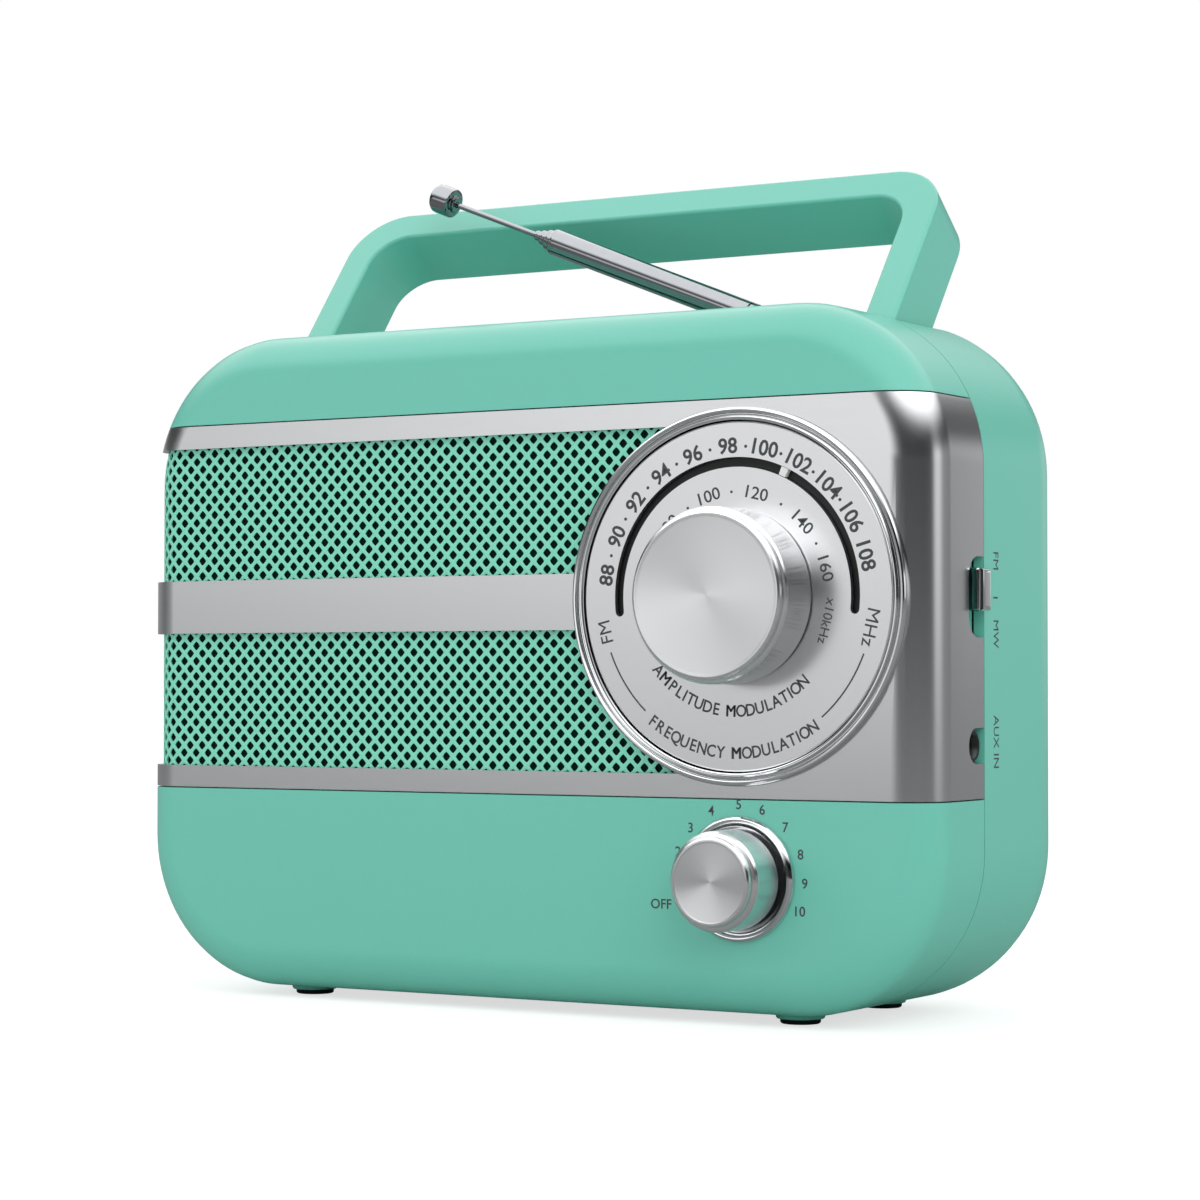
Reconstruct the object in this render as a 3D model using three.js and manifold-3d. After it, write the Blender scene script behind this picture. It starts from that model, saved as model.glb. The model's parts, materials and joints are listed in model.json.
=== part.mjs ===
// A portable radio with a carrying handle, a telescopic antenna and a round tuning dial.
// Millimetres. X runs to the right seen from the front, Y to the back, Z up.
// Y is 0 on the flat of the metal fascia and Z is 0 under the feet, until the last group shifts the
// origin to the middle of the footprint.
import * as THREE from "three";
import { mergeVertices } from "three/addons/utils/BufferGeometryUtils.js";
import Module from "manifold-3d";

const wasm = await Module();
wasm.setup();

// Driving dimensions.
const gap = 0.3; // between pieces that touch
const footHeight = 2.4;
const footRadius = 4.7;

const caseWidth = 218.5;
const caseHeight = 160.3;
const caseDepth = 81;
const cornerRadius = 37;
const frontFillet = 10.5;
const rearFillet = 22;
const seamDepth = 27.7;
const frontWall = 5.4;
const rearWall = 2.6;
const lipLength = 3;

const fasciaThickness = 1.2;
const fasciaUnderDial = 2.7; // metal left below the dial's ring, and above it
const fasciaOverDial = 1.8;
const recessDepth = 2.9;
const stripBottomHeight = 5.3;
const stripTopHeight = 5.6;
const barUnder = 7.2; // the bar between the windows, below and above the dial's centre
const barOver = 5.8;
const windowSideMargin = 5;
const grilleThickness = 0.9;

const dialX = 61.4;
const dialHeight = 94.1;
const dialRadius = 42.5;
const dialPlateRadius = 39.2;
const dialPlateThickness = 1.2;
const dialProud = 1.6;
const bezelCollar = 1.6;
const slotInnerRadius = 29;
const slotOuterRadius = 31.2;
const slotStart = -6;
const slotEnd = 186;
const pointerAngle = 66;
const pointerWidth = 1.3; // between the middles of its round ends
const pointerDiscRadius = 34;
const pointerDiscThickness = 0.8;
const tuningKnobRadius = 19.7;
const tuningKnobReach = 14.7;

const volumeX = 61.9;
const volumeDrop = 20.7; // from the dial's ring down to the knob's centre
const volumeBezelRadius = 14.2;
const volumeBezelThickness = 1.2;
const volumeKnobRadius = 11.2;
const volumeKnobReach = 13.7;

const shaftRadius = 3;
const shaftClearance = 0.4;

const switchHeight = 93.9;
const switchSlotLength = 18.1;
const switchSlotDepth = 8.2;
const switchNubLength = 9.6;
const switchNubReach = 2.5;
const switchOffset = 1.6; // the nub's centre above the slot's centre at rest
const jackHeight = 60.7;
const jackRadius = 4;

const speakerX = -50;
const speakerRadius = 36;
const speakerDepth = 24;

const handleReach = 85; // outer faces of the legs, from the middle
const handleThickness = 8.3;
const handleDepth = 16.9;
const handleLean = 38;
const handleFold = 40; // further back from rest, where its inner corners come close to the case
const handlePivotY = 38.2;
const handlePivotDrop = 8.3; // below the top of the case
const handleLength = 51.4; // pivot to the outer face of the grip
const handleOuterRadius = 14.5;
const handleInnerRadius = 9.5;
const handlePinRadius = 2;
const slotSide = 0.5;
const slotWall = 1.6;

const antennaX = 45;
const antennaY = 52;
const antennaPivotRise = 0.1; // above the top of the case
const antennaTilt = 21.4;
const antennaWellRadius = 8;
const antennaWellDepth = 10;
const antennaGrooveLength = 112;
const antennaTubes = [
  { name: "antenna_tube_1", outer: 3.3, bore: 2.95, start: 9, length: 60 },
  { name: "antenna_tube_2", outer: 2.6, bore: 2.25, start: 14, length: 56.9 },
  { name: "antenna_tube_3", outer: 1.9, bore: 1.6, start: 16, length: 56.8 },
  { name: "antenna_tube_4", outer: 1.3, bore: 1.0, start: 18, length: 56.6 },
];
const antennaRodRadius = 0.7;
const antennaRodStart = 40;
const antennaRodEnd = 100.4;
const antennaTipRadius = 3.75;
const antennaTipLength = 7;

const cellRadius = 13.1;
const cellLength = 50;
const cellSpace = 1.8; // between the two rows of cells
const batteryWall = 2;
const batteryHeight = 70; // middle of the compartment above the case's underside
const contactSpace = 5;
const doorThickness = 2.2;

const boardThickness = 1.6;
const boardY = 25;
const boardLeft = 8;
const boardRight = 92;
const boardBottom = 17.6;
const boardDrop = 20.7; // its top edge below the top of the case

const ferriteY = 38;
const ferriteDrop = 15.7; // the rod's axis below the top of the case
const ferriteRadius = 4;

const lowerScrewX = 78;
const lowerScrewHeight = 27;
const upperScrewInset = 17; // in from the outer faces of the handle's legs
const upperScrewRise = 0.9; // above the speaker's rim
const screwHeadRadius = 3.2;
const screwShankRadius = 1.5;
const screwSeatDepth = 10; // from the seam back to the seat of the screw's head

const footX = 68;
const frontFootY = 18;
const rearFootInset = 21; // in from the back of the case

// Sizes that follow from these.
const degree = Math.PI / 180;
const halfWidth = caseWidth / 2;
const caseTop = footHeight + caseHeight;
const dialZ = footHeight + dialHeight;
const volumeZ = dialZ - dialRadius - volumeDrop;
const switchZ = footHeight + switchHeight;
const jackZ = footHeight + jackHeight;
const sideOpeningY = seamDepth - switchSlotDepth;
const fasciaBottom = dialHeight - dialRadius - fasciaUnderDial;
const fasciaTop = dialHeight + dialRadius + fasciaOverDial;
const lean = handleLean * degree;
const pivotZ = caseTop - handlePivotDrop;
const antennaZ = caseTop + antennaPivotRise;
const ferriteZ = caseTop - ferriteDrop;
const upperScrewX = handleReach - upperScrewInset;
const upperScrewZ = dialZ + speakerRadius + upperScrewRise;
const screwPlaces = [
  { name: "lower_left", x: -lowerScrewX, z: footHeight + lowerScrewHeight },
  { name: "lower_right", x: lowerScrewX, z: footHeight + lowerScrewHeight },
  { name: "upper_left", x: -upperScrewX, z: upperScrewZ },
  { name: "upper_right", x: upperScrewX, z: upperScrewZ },
];

// Materials.
function material(color, roughness, metalness) {
  return new THREE.MeshStandardMaterial({ color, roughness, metalness });
}
const mint = material("#70beac", 0.45, 0);
const brushed = material("#c9cccf", 0.35, 0.9);
const mintWire = material("#8fe8cd", 0.5, 0.2);
const chrome = material("#e4e6e8", 0.12, 1);
const black = material("#16191b", 0.5, 0);
const pointerPaint = material("#e9efe6", 0.4, 0);
const steel = material("#a9adb0", 0.35, 1);
const rubber = material("#1b1b1c", 0.85, 0);
const boardGreen = material("#2f6b3d", 0.6, 0);
const paper = material("#2b2a28", 0.9, 0);
const ferrite = material("#3a3a3d", 0.7, 0.1);
const copper = material("#b06a3a", 0.4, 0.8);
const cellSleeve = material("#5a5f63", 0.4, 0.3);

const radio = new THREE.Group();

// Solids from three.js geometries.
function solidOf(geometry) {
  const bare = geometry.index ? geometry.toNonIndexed() : geometry.clone();
  bare.deleteAttribute("normal");
  bare.deleteAttribute("uv");
  const merged = mergeVertices(bare, 1e-4);
  return new wasm.Manifold(
    new wasm.Mesh({
      numProp: 3,
      vertProperties: merged.attributes.position.array,
      triVerts: new Uint32Array(merged.index.array),
    }),
  );
}

function geometryOf(solid) {
  const mesh = solid.getMesh();
  const geometry = new THREE.BufferGeometry();
  geometry.setAttribute("position", new THREE.BufferAttribute(mesh.vertProperties, 3));
  geometry.setIndex(new THREE.BufferAttribute(mesh.triVerts, 1));
  return geometry;
}

function add(name, solid, surface, parent = radio) {
  const mesh = new THREE.Mesh(geometryOf(solid), surface);
  mesh.name = name;
  parent.add(mesh);
}

function join(...solids) {
  return solids.reduce((whole, piece) => whole.add(piece));
}

function cut(solid, ...tools) {
  return tools.reduce((whole, tool) => whole.subtract(tool), solid);
}

function box(x0, x1, y0, y1, z0, z1) {
  const geometry = new THREE.BoxGeometry(x1 - x0, y1 - y0, z1 - z0);
  return solidOf(geometry.translate((x0 + x1) / 2, (y0 + y1) / 2, (z0 + z1) / 2));
}

function rod(radius, y0, y1, x, z, segments = 24) {
  const geometry = new THREE.CylinderGeometry(radius, radius, y1 - y0, segments);
  return solidOf(geometry.translate(x, (y0 + y1) / 2, z));
}

function rodX(radius, x0, x1, y, z, segments = 24) {
  const geometry = new THREE.CylinderGeometry(radius, radius, x1 - x0, segments);
  return solidOf(geometry.rotateZ(90 * degree).translate((x0 + x1) / 2, y, z));
}

function rodZ(radius, z0, z1, x, y, segments = 24) {
  const geometry = new THREE.CylinderGeometry(radius, radius, z1 - z0, segments);
  return solidOf(geometry.rotateX(90 * degree).translate(x, y, (z0 + z1) / 2));
}

// A turned piece about an axis along Y: its profile is [radius, y] from front to back on the axis.
function turned(profile, x, z, segments = 32) {
  const points = profile.map(([r, y]) => new THREE.Vector2(r, y));
  return solidOf(new THREE.LatheGeometry(points, segments).translate(x, 0, z));
}

function ring(inner, outer, y0, y1, x, z, segments = 48) {
  return cut(rod(outer, y0, y1, x, z, segments), rod(inner, y0 - 1, y1 + 1, x, z, segments));
}

// An outline drawn in X and Z, as thick as y0 to y1.
function slab(shape, y0, y1, curveSegments = 8) {
  const geometry = new THREE.ExtrudeGeometry(shape, {
    depth: y1 - y0,
    bevelEnabled: false,
    curveSegments,
  });
  return solidOf(geometry.rotateX(90 * degree).translate(0, y1, 0));
}

function roundedRectangle(x0, x1, z0, z1, radius) {
  const shape = new THREE.Shape();
  shape.moveTo(x0 + radius, z0);
  shape.lineTo(x1 - radius, z0);
  shape.absarc(x1 - radius, z0 + radius, radius, -90 * degree, 0);
  shape.lineTo(x1, z1 - radius);
  shape.absarc(x1 - radius, z1 - radius, radius, 0, 90 * degree);
  shape.lineTo(x0 + radius, z1);
  shape.absarc(x0 + radius, z1 - radius, radius, 90 * degree, 180 * degree);
  shape.lineTo(x0, z0 + radius);
  shape.absarc(x0 + radius, z0 + radius, radius, 180 * degree, 270 * degree);
  return shape;
}

// A closed skin over rings that all have the same number of points, with a fan on each end.
function loft(rings) {
  const count = rings[0].length;
  const positions = rings.flat();
  const faces = [];
  for (let i = 0; i < rings.length - 1; i++)
    for (let j = 0; j < count; j++) {
      const a = i * count + j;
      const b = i * count + ((j + 1) % count);
      faces.push(a, a + count, b, b, a + count, b + count);
    }
  const last = (rings.length - 1) * count;
  for (let j = 1; j < count - 1; j++) {
    faces.push(0, j, j + 1);
    faces.push(last, last + j + 1, last + j);
  }
  const geometry = new THREE.BufferGeometry();
  geometry.setAttribute("position", new THREE.Float32BufferAttribute(positions.flat(), 3));
  geometry.setIndex(faces);
  return solidOf(geometry);
}

// The case's outline in X and Z at one depth, drawn in all round.
function outlineRing(drawnIn, y) {
  const right = halfWidth - drawnIn;
  const low = footHeight + drawnIn;
  const high = caseTop - drawnIn;
  const radius = Math.max(cornerRadius - drawnIn, 0.5);
  const corners = [
    [right - radius, low + radius, -90],
    [right - radius, high - radius, 0],
    [radius - right, high - radius, 90],
    [radius - right, low + radius, 180],
  ];
  const steps = 7;
  const points = [];
  for (const [x, z, start] of corners)
    for (let i = 0; i <= steps; i++) {
      const angle = (start + (90 * i) / steps) * degree;
      points.push([x + radius * Math.cos(angle), y, z + radius * Math.sin(angle)]);
    }
  return points;
}

// The whole case as one solid, drawn in by inset all over, between two depths.
function body(inset, from = -caseWidth, to = caseWidth) {
  const front = Math.max(frontFillet - inset, 0.5);
  const rear = Math.max(rearFillet - inset, 0.5);
  const steps = 5;
  const frontRings = [];
  const rearRings = [];
  for (let i = 0; i <= steps; i++) {
    const angle = ((90 * i) / steps) * degree;
    const [near, far] = [1 - Math.cos(angle), 1 - Math.sin(angle)];
    frontRings.push(outlineRing(inset + front * far, inset + front * near));
    rearRings.unshift(outlineRing(inset + rear * far, caseDepth - inset - rear * near));
  }
  const whole = loft([...frontRings, ...rearRings]);
  return whole.intersect(box(-caseWidth, caseWidth, from, to, -caseWidth, 2 * caseWidth));
}

// An outline drawn in Y and Z, as thick as x0 to x1.
function slabX(shape, x0, x1, curveSegments = 8) {
  const geometry = new THREE.ExtrudeGeometry(shape, {
    depth: x1 - x0,
    bevelEnabled: false,
    curveSegments,
  });
  const axes = [[0, 1, 0], [0, 0, 1], [1, 0, 0]].map((axis) => new THREE.Vector3(...axis));
  geometry.applyMatrix4(new THREE.Matrix4().makeBasis(...axes));
  return solidOf(geometry.translate(x0, 0, 0));
}

function heightBand(low, high) {
  const reach = caseWidth;
  return box(-reach, reach, -reach, reach, footHeight + low, footHeight + high);
}

// Cuts in the right-hand side that are open to the seam, for the band switch and the jack.
function sideCut(z, length, radius, spread = 0) {
  const [y0, y1] = [sideOpeningY - spread, seamDepth + radius + 1];
  const [z0, z1] = [z - length / 2 - spread, z + length / 2 + spread];
  return slabX(roundedRectangle(y0, y1, z0, z1, radius), halfWidth - 8, halfWidth + 8);
}

const switchCut = sideCut(switchZ, switchSlotLength, 5);
const jackCut = sideCut(jackZ, 2 * jackRadius, jackRadius - 0.1);

// Metal fascia: a sheet that wraps round both front edges back to the seam.
const windowLeft = -caseWidth;
const windows = [
  { name: "grille_lower", low: fasciaBottom + stripBottomHeight, high: dialHeight - barUnder },
  { name: "grille_upper", low: dialHeight + barOver, high: fasciaTop - stripTopHeight },
];
const underBezel = 0.3; // how far the windows' round ends reach under the bezel
const bezelBore = dialPlateRadius + gap;
const collarRadius = bezelBore + bezelCollar - gap;

function windowSolid({ low, high }, spread, dialGap) {
  const [z0, z1] = [footHeight + low - spread, footHeight + high + spread];
  const back = seamDepth - windowSideMargin + spread;
  const opening = box(windowLeft, dialX, -caseWidth, back, z0, z1);
  return cut(opening, rod(dialGap, -caseWidth, caseWidth, dialX, dialZ, 64));
}

function fascia() {
  const sheet = cut(body(0, -caseWidth, seamDepth - gap / 2), body(fasciaThickness));
  return cut(
    sheet.intersect(heightBand(fasciaBottom, fasciaTop)),
    rod(collarRadius + gap, -caseWidth, caseDepth / 4, dialX, dialZ, 64),
    ...windows.map((window) => windowSolid(window, 0, dialRadius - underBezel)),
    switchCut,
    jackCut,
  );
}

add("fascia", fascia(), brushed);

const grilleOverlap = 1.5;
for (const window of windows) {
  const sheet = cut(body(fasciaThickness + gap), body(fasciaThickness + gap + grilleThickness));
  const held = windowSolid(window, grilleOverlap, collarRadius + 2 * gap);
  add(window.name, sheet.intersect(held), mintWire);
}

// Front shell, with a recess for the fascia and the grilles, and bosses for the case screws.
const bossRadius = 4.5;
const boardLow = footHeight + boardBottom;
const boardHigh = caseTop - boardDrop;
const standoffs = [
  { x: boardLeft + 6, z: boardLow + 6 },
  { x: boardLeft + 6, z: boardHigh - 5 },
  { x: boardRight - 4, z: dialZ + 5.5 },
];

function frontShell() {
  const end = seamDepth - gap / 2;
  const wall = cut(body(0, -caseWidth, end), body(frontWall));
  const lipRing = cut(body(rearWall + gap, seamDepth - 4, seamDepth + lipLength), body(frontWall));
  const legRoom = (handleThickness + 2 * slotWall) / 2 + slotSide + 2 * gap;
  const lip = cut(
    lipRing,
    ...[-1, 1].map((side) => {
      const middle = side * (handleReach - handleThickness / 2);
      const [x0, x1] = [middle - legRoom, middle + legRoom];
      return box(x0, x1, seamDepth, caseDepth, caseHeight / 2, 2 * caseHeight);
    }),
  );
  const bosses = screwPlaces.map(({ x, z }) => rod(bossRadius, frontWall - 1, end, x, z));
  const stakes = standoffs.flatMap(({ x, z }) => [
    rod(3, frontWall - 1, boardY - gap, x, z, 16),
    rod(1.2, boardY - 1, boardY + boardThickness + 1, x, z, 16),
  ]);
  const recess = cut(body(-1), body(recessDepth)).intersect(heightBand(fasciaBottom - gap, fasciaTop + gap));
  const shell = cut(join(wall, lip, ...bosses, ...stakes), recess);
  const shaftHole = shaftRadius + shaftClearance;
  return cut(
    shell,
    ...screwPlaces.map(({ x, z }) => rod(screwShankRadius + gap, end - 14, caseDepth, x, z, 16)),
    rod(speakerRadius - 5, -1, frontWall + 1, speakerX, dialZ, 48),
    rod(shaftHole, -1, frontWall + 1, dialX, dialZ, 20),
    rod(shaftHole, -1, frontWall + 1, volumeX, volumeZ, 20),
    rodX(jackRadius, halfWidth - 8, halfWidth, jackY, jackZ),
    box(halfWidth - 8, halfWidth, stemY0 - gap, stemY1 + gap, stemLow - switchTravel - gap, stemHigh + gap),
  );
}

// Band switch: its nub stands in the upper half of the slot at rest and travels down.
const jackY = sideOpeningY + jackRadius;
const switchTravel = 2 * switchOffset;
const nubY0 = sideOpeningY + 2.3;
const nubY1 = nubY0 + 4.8;
const nubZ = switchZ + switchOffset;
const stemY0 = nubY0 + 1.1;
const stemY1 = nubY1 - 1.1;
const stemLow = nubZ - 1.6;
const stemHigh = nubZ + 1.6;
const innerSide = halfWidth - frontWall;
const switchBodyDepth = 9;
const switchBodyX = innerSide - gap - switchBodyDepth;

add("front_shell", frontShell(), mint);

const nubX = halfWidth - recessDepth + 1.5 * gap;
const nub = join(
  box(nubX, halfWidth + switchNubReach, nubY0, nubY1, nubZ - switchNubLength / 2, nubZ + switchNubLength / 2),
  box(innerSide - 4, nubX + 1, stemY0, stemY1, stemLow, stemHigh),
);
add("band_switch_nub", nub, chrome);

const switchBody = cut(
  box(switchBodyX, innerSide - gap, nubY0 - 3, nubY1 + 1.2, switchZ - 10, switchZ + 10),
  box(innerSide - 5, innerSide, stemY0 - gap, stemY1 + gap, stemLow - switchTravel - gap, stemHigh + gap),
);
add("band_switch_body", switchBody, steel);

const jack = cut(
  join(
    box(innerSide - gap - 10, innerSide - gap, jackY - 4.2, jackY + 3.6, jackZ - 4.8, jackZ + 4.8),
    rodX(jackRadius - gap, innerSide - 1, halfWidth - recessDepth + 0.6, jackY, jackZ),
  ),
  rodX(1.8, innerSide - 9, halfWidth, jackY, jackZ, 16),
);
add("aux_jack", jack, black);

// Dial: a plate in a raised bezel, and behind the plate's slot a disc that carries the pointer.
const plateFront = -0.8;
const plateBack = plateFront + dialPlateThickness;
const discFront = plateBack + 0.5;
const discBack = discFront + pointerDiscThickness;

function arcShape(inner, outer, start, end) {
  const [a, b] = [start * degree, end * degree];
  const middle = (inner + outer) / 2;
  const half = (outer - inner) / 2;
  const shape = new THREE.Shape();
  shape.absarc(dialX, dialZ, outer, a, b);
  const endAt = (angle) => [dialX + middle * Math.cos(angle), dialZ + middle * Math.sin(angle)];
  shape.absarc(...endAt(b), half, b, b + Math.PI);
  shape.absarc(dialX, dialZ, inner, b, a, true);
  shape.absarc(...endAt(a), half, a + Math.PI, a + 2 * Math.PI);
  return shape;
}

const arcSlot = slab(arcShape(slotInnerRadius, slotOuterRadius, slotStart, slotEnd), -5, 5, 20);
const plate = cut(
  rod(dialPlateRadius, plateFront, plateBack, dialX, dialZ, 64),
  rod(shaftRadius + shaftClearance, -5, 5, dialX, dialZ, 20),
  arcSlot,
);
add("dial_plate", plate, brushed);

const bezel = join(
  cut(ring(bezelBore, dialRadius, -dialProud, 3, dialX, dialZ, 64), body(-gap)),
  ring(bezelBore, collarRadius, -dialProud, recessDepth - 2 * gap, dialX, dialZ, 64),
);
add("dial_bezel", bezel, chrome);

const disc = ring(shaftRadius + gap, pointerDiscRadius, discFront, discBack, dialX, dialZ, 48);
const markMiddle = (slotInnerRadius + slotOuterRadius) / 2;
const markHalf = (slotOuterRadius - slotInnerRadius) / 2 - gap;
const markSpread = (pointerWidth / 2 / markMiddle) / degree;
const [markStart, markEnd] = [pointerAngle - markSpread, pointerAngle + markSpread];
const markShape = arcShape(markMiddle - markHalf, markMiddle + markHalf, markStart, markEnd);
const mark = slab(markShape, plateFront + gap, discFront - 0.1);
add("pointer_disc", disc, black);
add("dial_pointer", mark, pointerPaint);

// Tuning knob, its shaft and the variable capacitor it turns.
const tuningBack = plateFront - 0.5;
const tuningFront = -tuningKnobReach;
const tuningChamfer = 1.2;
const knobSocket = 4; // a knob's face to the end of its shaft
const tuningKnob = cut(
  turned(
    [
      [0, tuningFront + 0.5],
      [tuningKnobRadius - 3 * tuningChamfer, tuningFront],
      [tuningKnobRadius - tuningChamfer, tuningFront],
      [tuningKnobRadius, tuningFront + tuningChamfer],
      [tuningKnobRadius, tuningBack],
      [0, tuningBack],
    ],
    dialX,
    dialZ,
    48,
  ),
  rod(shaftRadius + gap, tuningFront + knobSocket, 5, dialX, dialZ, 20),
);
add("tuning_knob", tuningKnob, brushed);

const capacitorFront = 13;
const capacitorHalf = 10;
const shaftEnd = capacitorFront + 7;
add("tuning_shaft", rod(shaftRadius, tuningFront + knobSocket + gap, shaftEnd, dialX, dialZ, 20), steel);

const sidesOf = (middle, half) => [middle - half, middle + half];
const capacitor = cut(
  box(...sidesOf(dialX, capacitorHalf), capacitorFront, boardY - gap, ...sidesOf(dialZ, capacitorHalf)),
  rod(shaftRadius + gap, 0, shaftEnd + gap, dialX, dialZ, 20),
);
add("tuning_capacitor", capacitor, paper);

// Volume knob, its bezel, shaft and potentiometer.
const volumeBezelFront = -gap - volumeBezelThickness;
const volumeBack = volumeBezelFront - 0.5;
const volumeFront = -volumeKnobReach;
const volumeChamfer = 1.2;
const volumeKnob = cut(
  turned(
    [
      [0, volumeFront + 0.4],
      [volumeKnobRadius - 2.5 * volumeChamfer, volumeFront],
      [volumeKnobRadius - volumeChamfer, volumeFront],
      [volumeKnobRadius, volumeFront + volumeChamfer],
      [volumeKnobRadius, volumeBack],
      [0, volumeBack],
    ],
    volumeX,
    volumeZ,
    36,
  ),
  rod(shaftRadius + gap, volumeFront + knobSocket, 5, volumeX, volumeZ, 20),
);
const volumeRing = ring(
  shaftRadius + shaftClearance,
  volumeBezelRadius,
  volumeBezelFront,
  -gap,
  volumeX,
  volumeZ,
  48,
);
add("volume_bezel", volumeRing, chrome);
add("volume_knob", volumeKnob, brushed);

const potFront = frontWall + gap;
const potDepth = 8;
const potRadius = 8.5;
const potShaftEnd = potFront + 6;
const volumeShaft = rod(shaftRadius, volumeFront + knobSocket + gap, potShaftEnd, volumeX, volumeZ, 20);
add("volume_shaft", volumeShaft, steel);
const potentiometer = cut(
  join(
    rod(potRadius, potFront, potFront + potDepth, volumeX, volumeZ),
    box(volumeX - 6, volumeX + 6, potFront + potDepth - 1, boardY - gap, volumeZ - 6, volumeZ + 6),
  ),
  rod(shaftRadius + gap, 0, potShaftEnd + gap, volumeX, volumeZ, 20),
);
add("volume_potentiometer", potentiometer, steel);

// Loudspeaker behind the grilles.
const basketFront = frontWall + gap;
const basketBack = basketFront + speakerDepth - 7;
const magnetRadius = 16;
const basket = turned(
  [
    [speakerRadius - 7, basketFront],
    [speakerRadius, basketFront],
    [speakerRadius, basketFront + 1.5],
    [speakerRadius - 6, basketFront + 1.5],
    [magnetRadius + 1, basketBack],
    [7, basketBack],
    [7, basketBack - 1.5],
    [magnetRadius, basketBack - 1.5],
    [speakerRadius - 7, basketFront + 1.5],
    [speakerRadius - 7, basketFront],
  ],
  speakerX,
  dialZ,
  28,
);
add("speaker_basket", basket, steel);
const cone = turned(
  [
    [0, basketFront + 8],
    [6, basketFront + 9.5],
    [speakerRadius - 9, basketFront + 1],
    [speakerRadius - 9, basketFront + 2],
    [6.3, basketFront + 10.7],
    [6.3, basketBack + 3],
    [0, basketBack + 3],
  ],
  speakerX,
  dialZ,
  28,
);
add("speaker_cone", cone, paper);
const magnet = cut(
  rod(magnetRadius, basketBack + gap, basketFront + speakerDepth, speakerX, dialZ, 32),
  rod(7, basketBack - 1, basketBack + 4, speakerX, dialZ, 24),
);
add("speaker_magnet", magnet, ferrite);

// Circuit board on heat-staked pins, with clearance round the screw bosses.
const board = cut(
  box(boardLeft, boardRight, boardY, boardY + boardThickness, boardLow, boardHigh),
  ...screwPlaces.map(({ x, z }) => rod(bossRadius + 1, 0, caseDepth, x, z)),
  ...standoffs.map(({ x, z }) => rod(1.2 + gap, 0, caseDepth, x, z, 16)),
);
add("circuit_board", board, boardGreen);

// Ferrite rod antenna with its coil, in two clips under the top of the rear shell.
add("ferrite_rod", rodX(ferriteRadius, -50, 30, ferriteY, ferriteZ, 20), ferrite);
const coil = cut(
  rodX(ferriteRadius + 1.6, -22, 4, ferriteY, ferriteZ, 20),
  rodX(ferriteRadius + gap, -30, 10, ferriteY, ferriteZ, 20),
);
add("ferrite_coil", coil, copper);
const clipTop = caseTop - rearWall - gap;
for (const [side, x] of [["left", -42], ["right", 18]]) {
  const clip = cut(
    box(x, x + 4, ferriteY - 6.5, ferriteY + 6.5, ferriteZ - 6.5, clipTop),
    rodX(ferriteRadius + gap, x - 1, x + 5, ferriteY, ferriteZ, 20),
  );
  add("ferrite_clip_" + side, clip, black);
}

// Battery compartment with four cells in two rows.
const batteryZ = footHeight + batteryHeight;
const cellY = caseDepth - doorThickness - 1 - cellRadius;
const cellSpacing = 2 * cellRadius + cellSpace;
const boxInnerX = cellLength + 0.5 + contactSpace - 1.5;
const boxInnerZ = cellSpacing / 2 + cellRadius + 0.6;
const boxFront = cellY - cellRadius - 0.6 - batteryWall;
const batteryBox = cut(
  box(
    -boxInnerX - batteryWall,
    boxInnerX + batteryWall,
    boxFront,
    caseDepth - rearWall - gap,
    batteryZ - boxInnerZ - batteryWall,
    batteryZ + boxInnerZ + batteryWall,
  ),
  box(-boxInnerX, boxInnerX, boxFront + batteryWall, caseDepth, batteryZ - boxInnerZ, batteryZ + boxInnerZ),
);
add("battery_box", batteryBox, black);

const doorHalfX = boxInnerX + batteryWall / 2;
const doorHalfZ = boxInnerZ + batteryWall / 2;
const doorCorner = 3;
function doorShape(spread) {
  const [x, z] = [doorHalfX + spread, doorHalfZ + spread];
  return roundedRectangle(-x, x, batteryZ - z, batteryZ + z, doorCorner + spread);
}
add("battery_door", slab(doorShape(0), caseDepth - doorThickness, caseDepth, 6), mint);

const cellEnd = 1.2;
const cellPlaces = [[-1, 1], [1, 1], [-1, -1], [1, -1]];
cellPlaces.forEach(([across, up], index) => {
  const x = (across * (cellLength + 0.5)) / 2;
  const z = batteryZ + (up * cellSpacing) / 2;
  const cell = join(
    rodX(cellRadius, x - cellLength / 2 + 0.2, x + cellLength / 2 - cellEnd, cellY, z, 24),
    rodX(3.2, x + cellLength / 2 - cellEnd - 1, x + cellLength / 2, cellY, z, 16),
  );
  add("battery_cell_" + (index + 1), cell, cellSleeve);
});

// Contacts: a coil spring against each row's flat end and a dimpled plate against its button end.
class Helix extends THREE.Curve {
  getPoint(t) {
    const angle = 2 * Math.PI * 3 * t;
    const radius = 5.5 - 1.5 * t;
    return new THREE.Vector3(2.4 * t, radius * Math.cos(angle), radius * Math.sin(angle));
  }
}
const wire = new THREE.Shape().absarc(0, 0, 0.35, 0, 2 * Math.PI);
const plateX = boxInnerX - 0.3;
const rows = [["upper", batteryZ + cellSpacing / 2], ["lower", batteryZ - cellSpacing / 2]];
for (const [row, z] of rows) {
  const contact = box(-plateX, -plateX + 0.5, cellY - 8, cellY + 8, z - 8, z + 8);
  const coilGeometry = new THREE.ExtrudeGeometry(wire, {
    steps: 36,
    curveSegments: 3,
    extrudePath: new Helix(),
  });
  const spring = solidOf(coilGeometry.translate(-plateX + 0.6, cellY, z));
  add("battery_spring_" + row, join(contact, spring), steel);
  const button = join(
    box(plateX - 0.5, plateX, cellY - 8, cellY + 8, z - 8, z + 8),
    rodX(3, plateX - 2.2, plateX - 0.4, cellY, z, 16),
  );
  add("battery_contact_" + row, button, steel);
}

// Rear shell, with a slot in each shoulder that the handle's legs fold back into.
const legRadius = handleDepth / 2;

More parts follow.
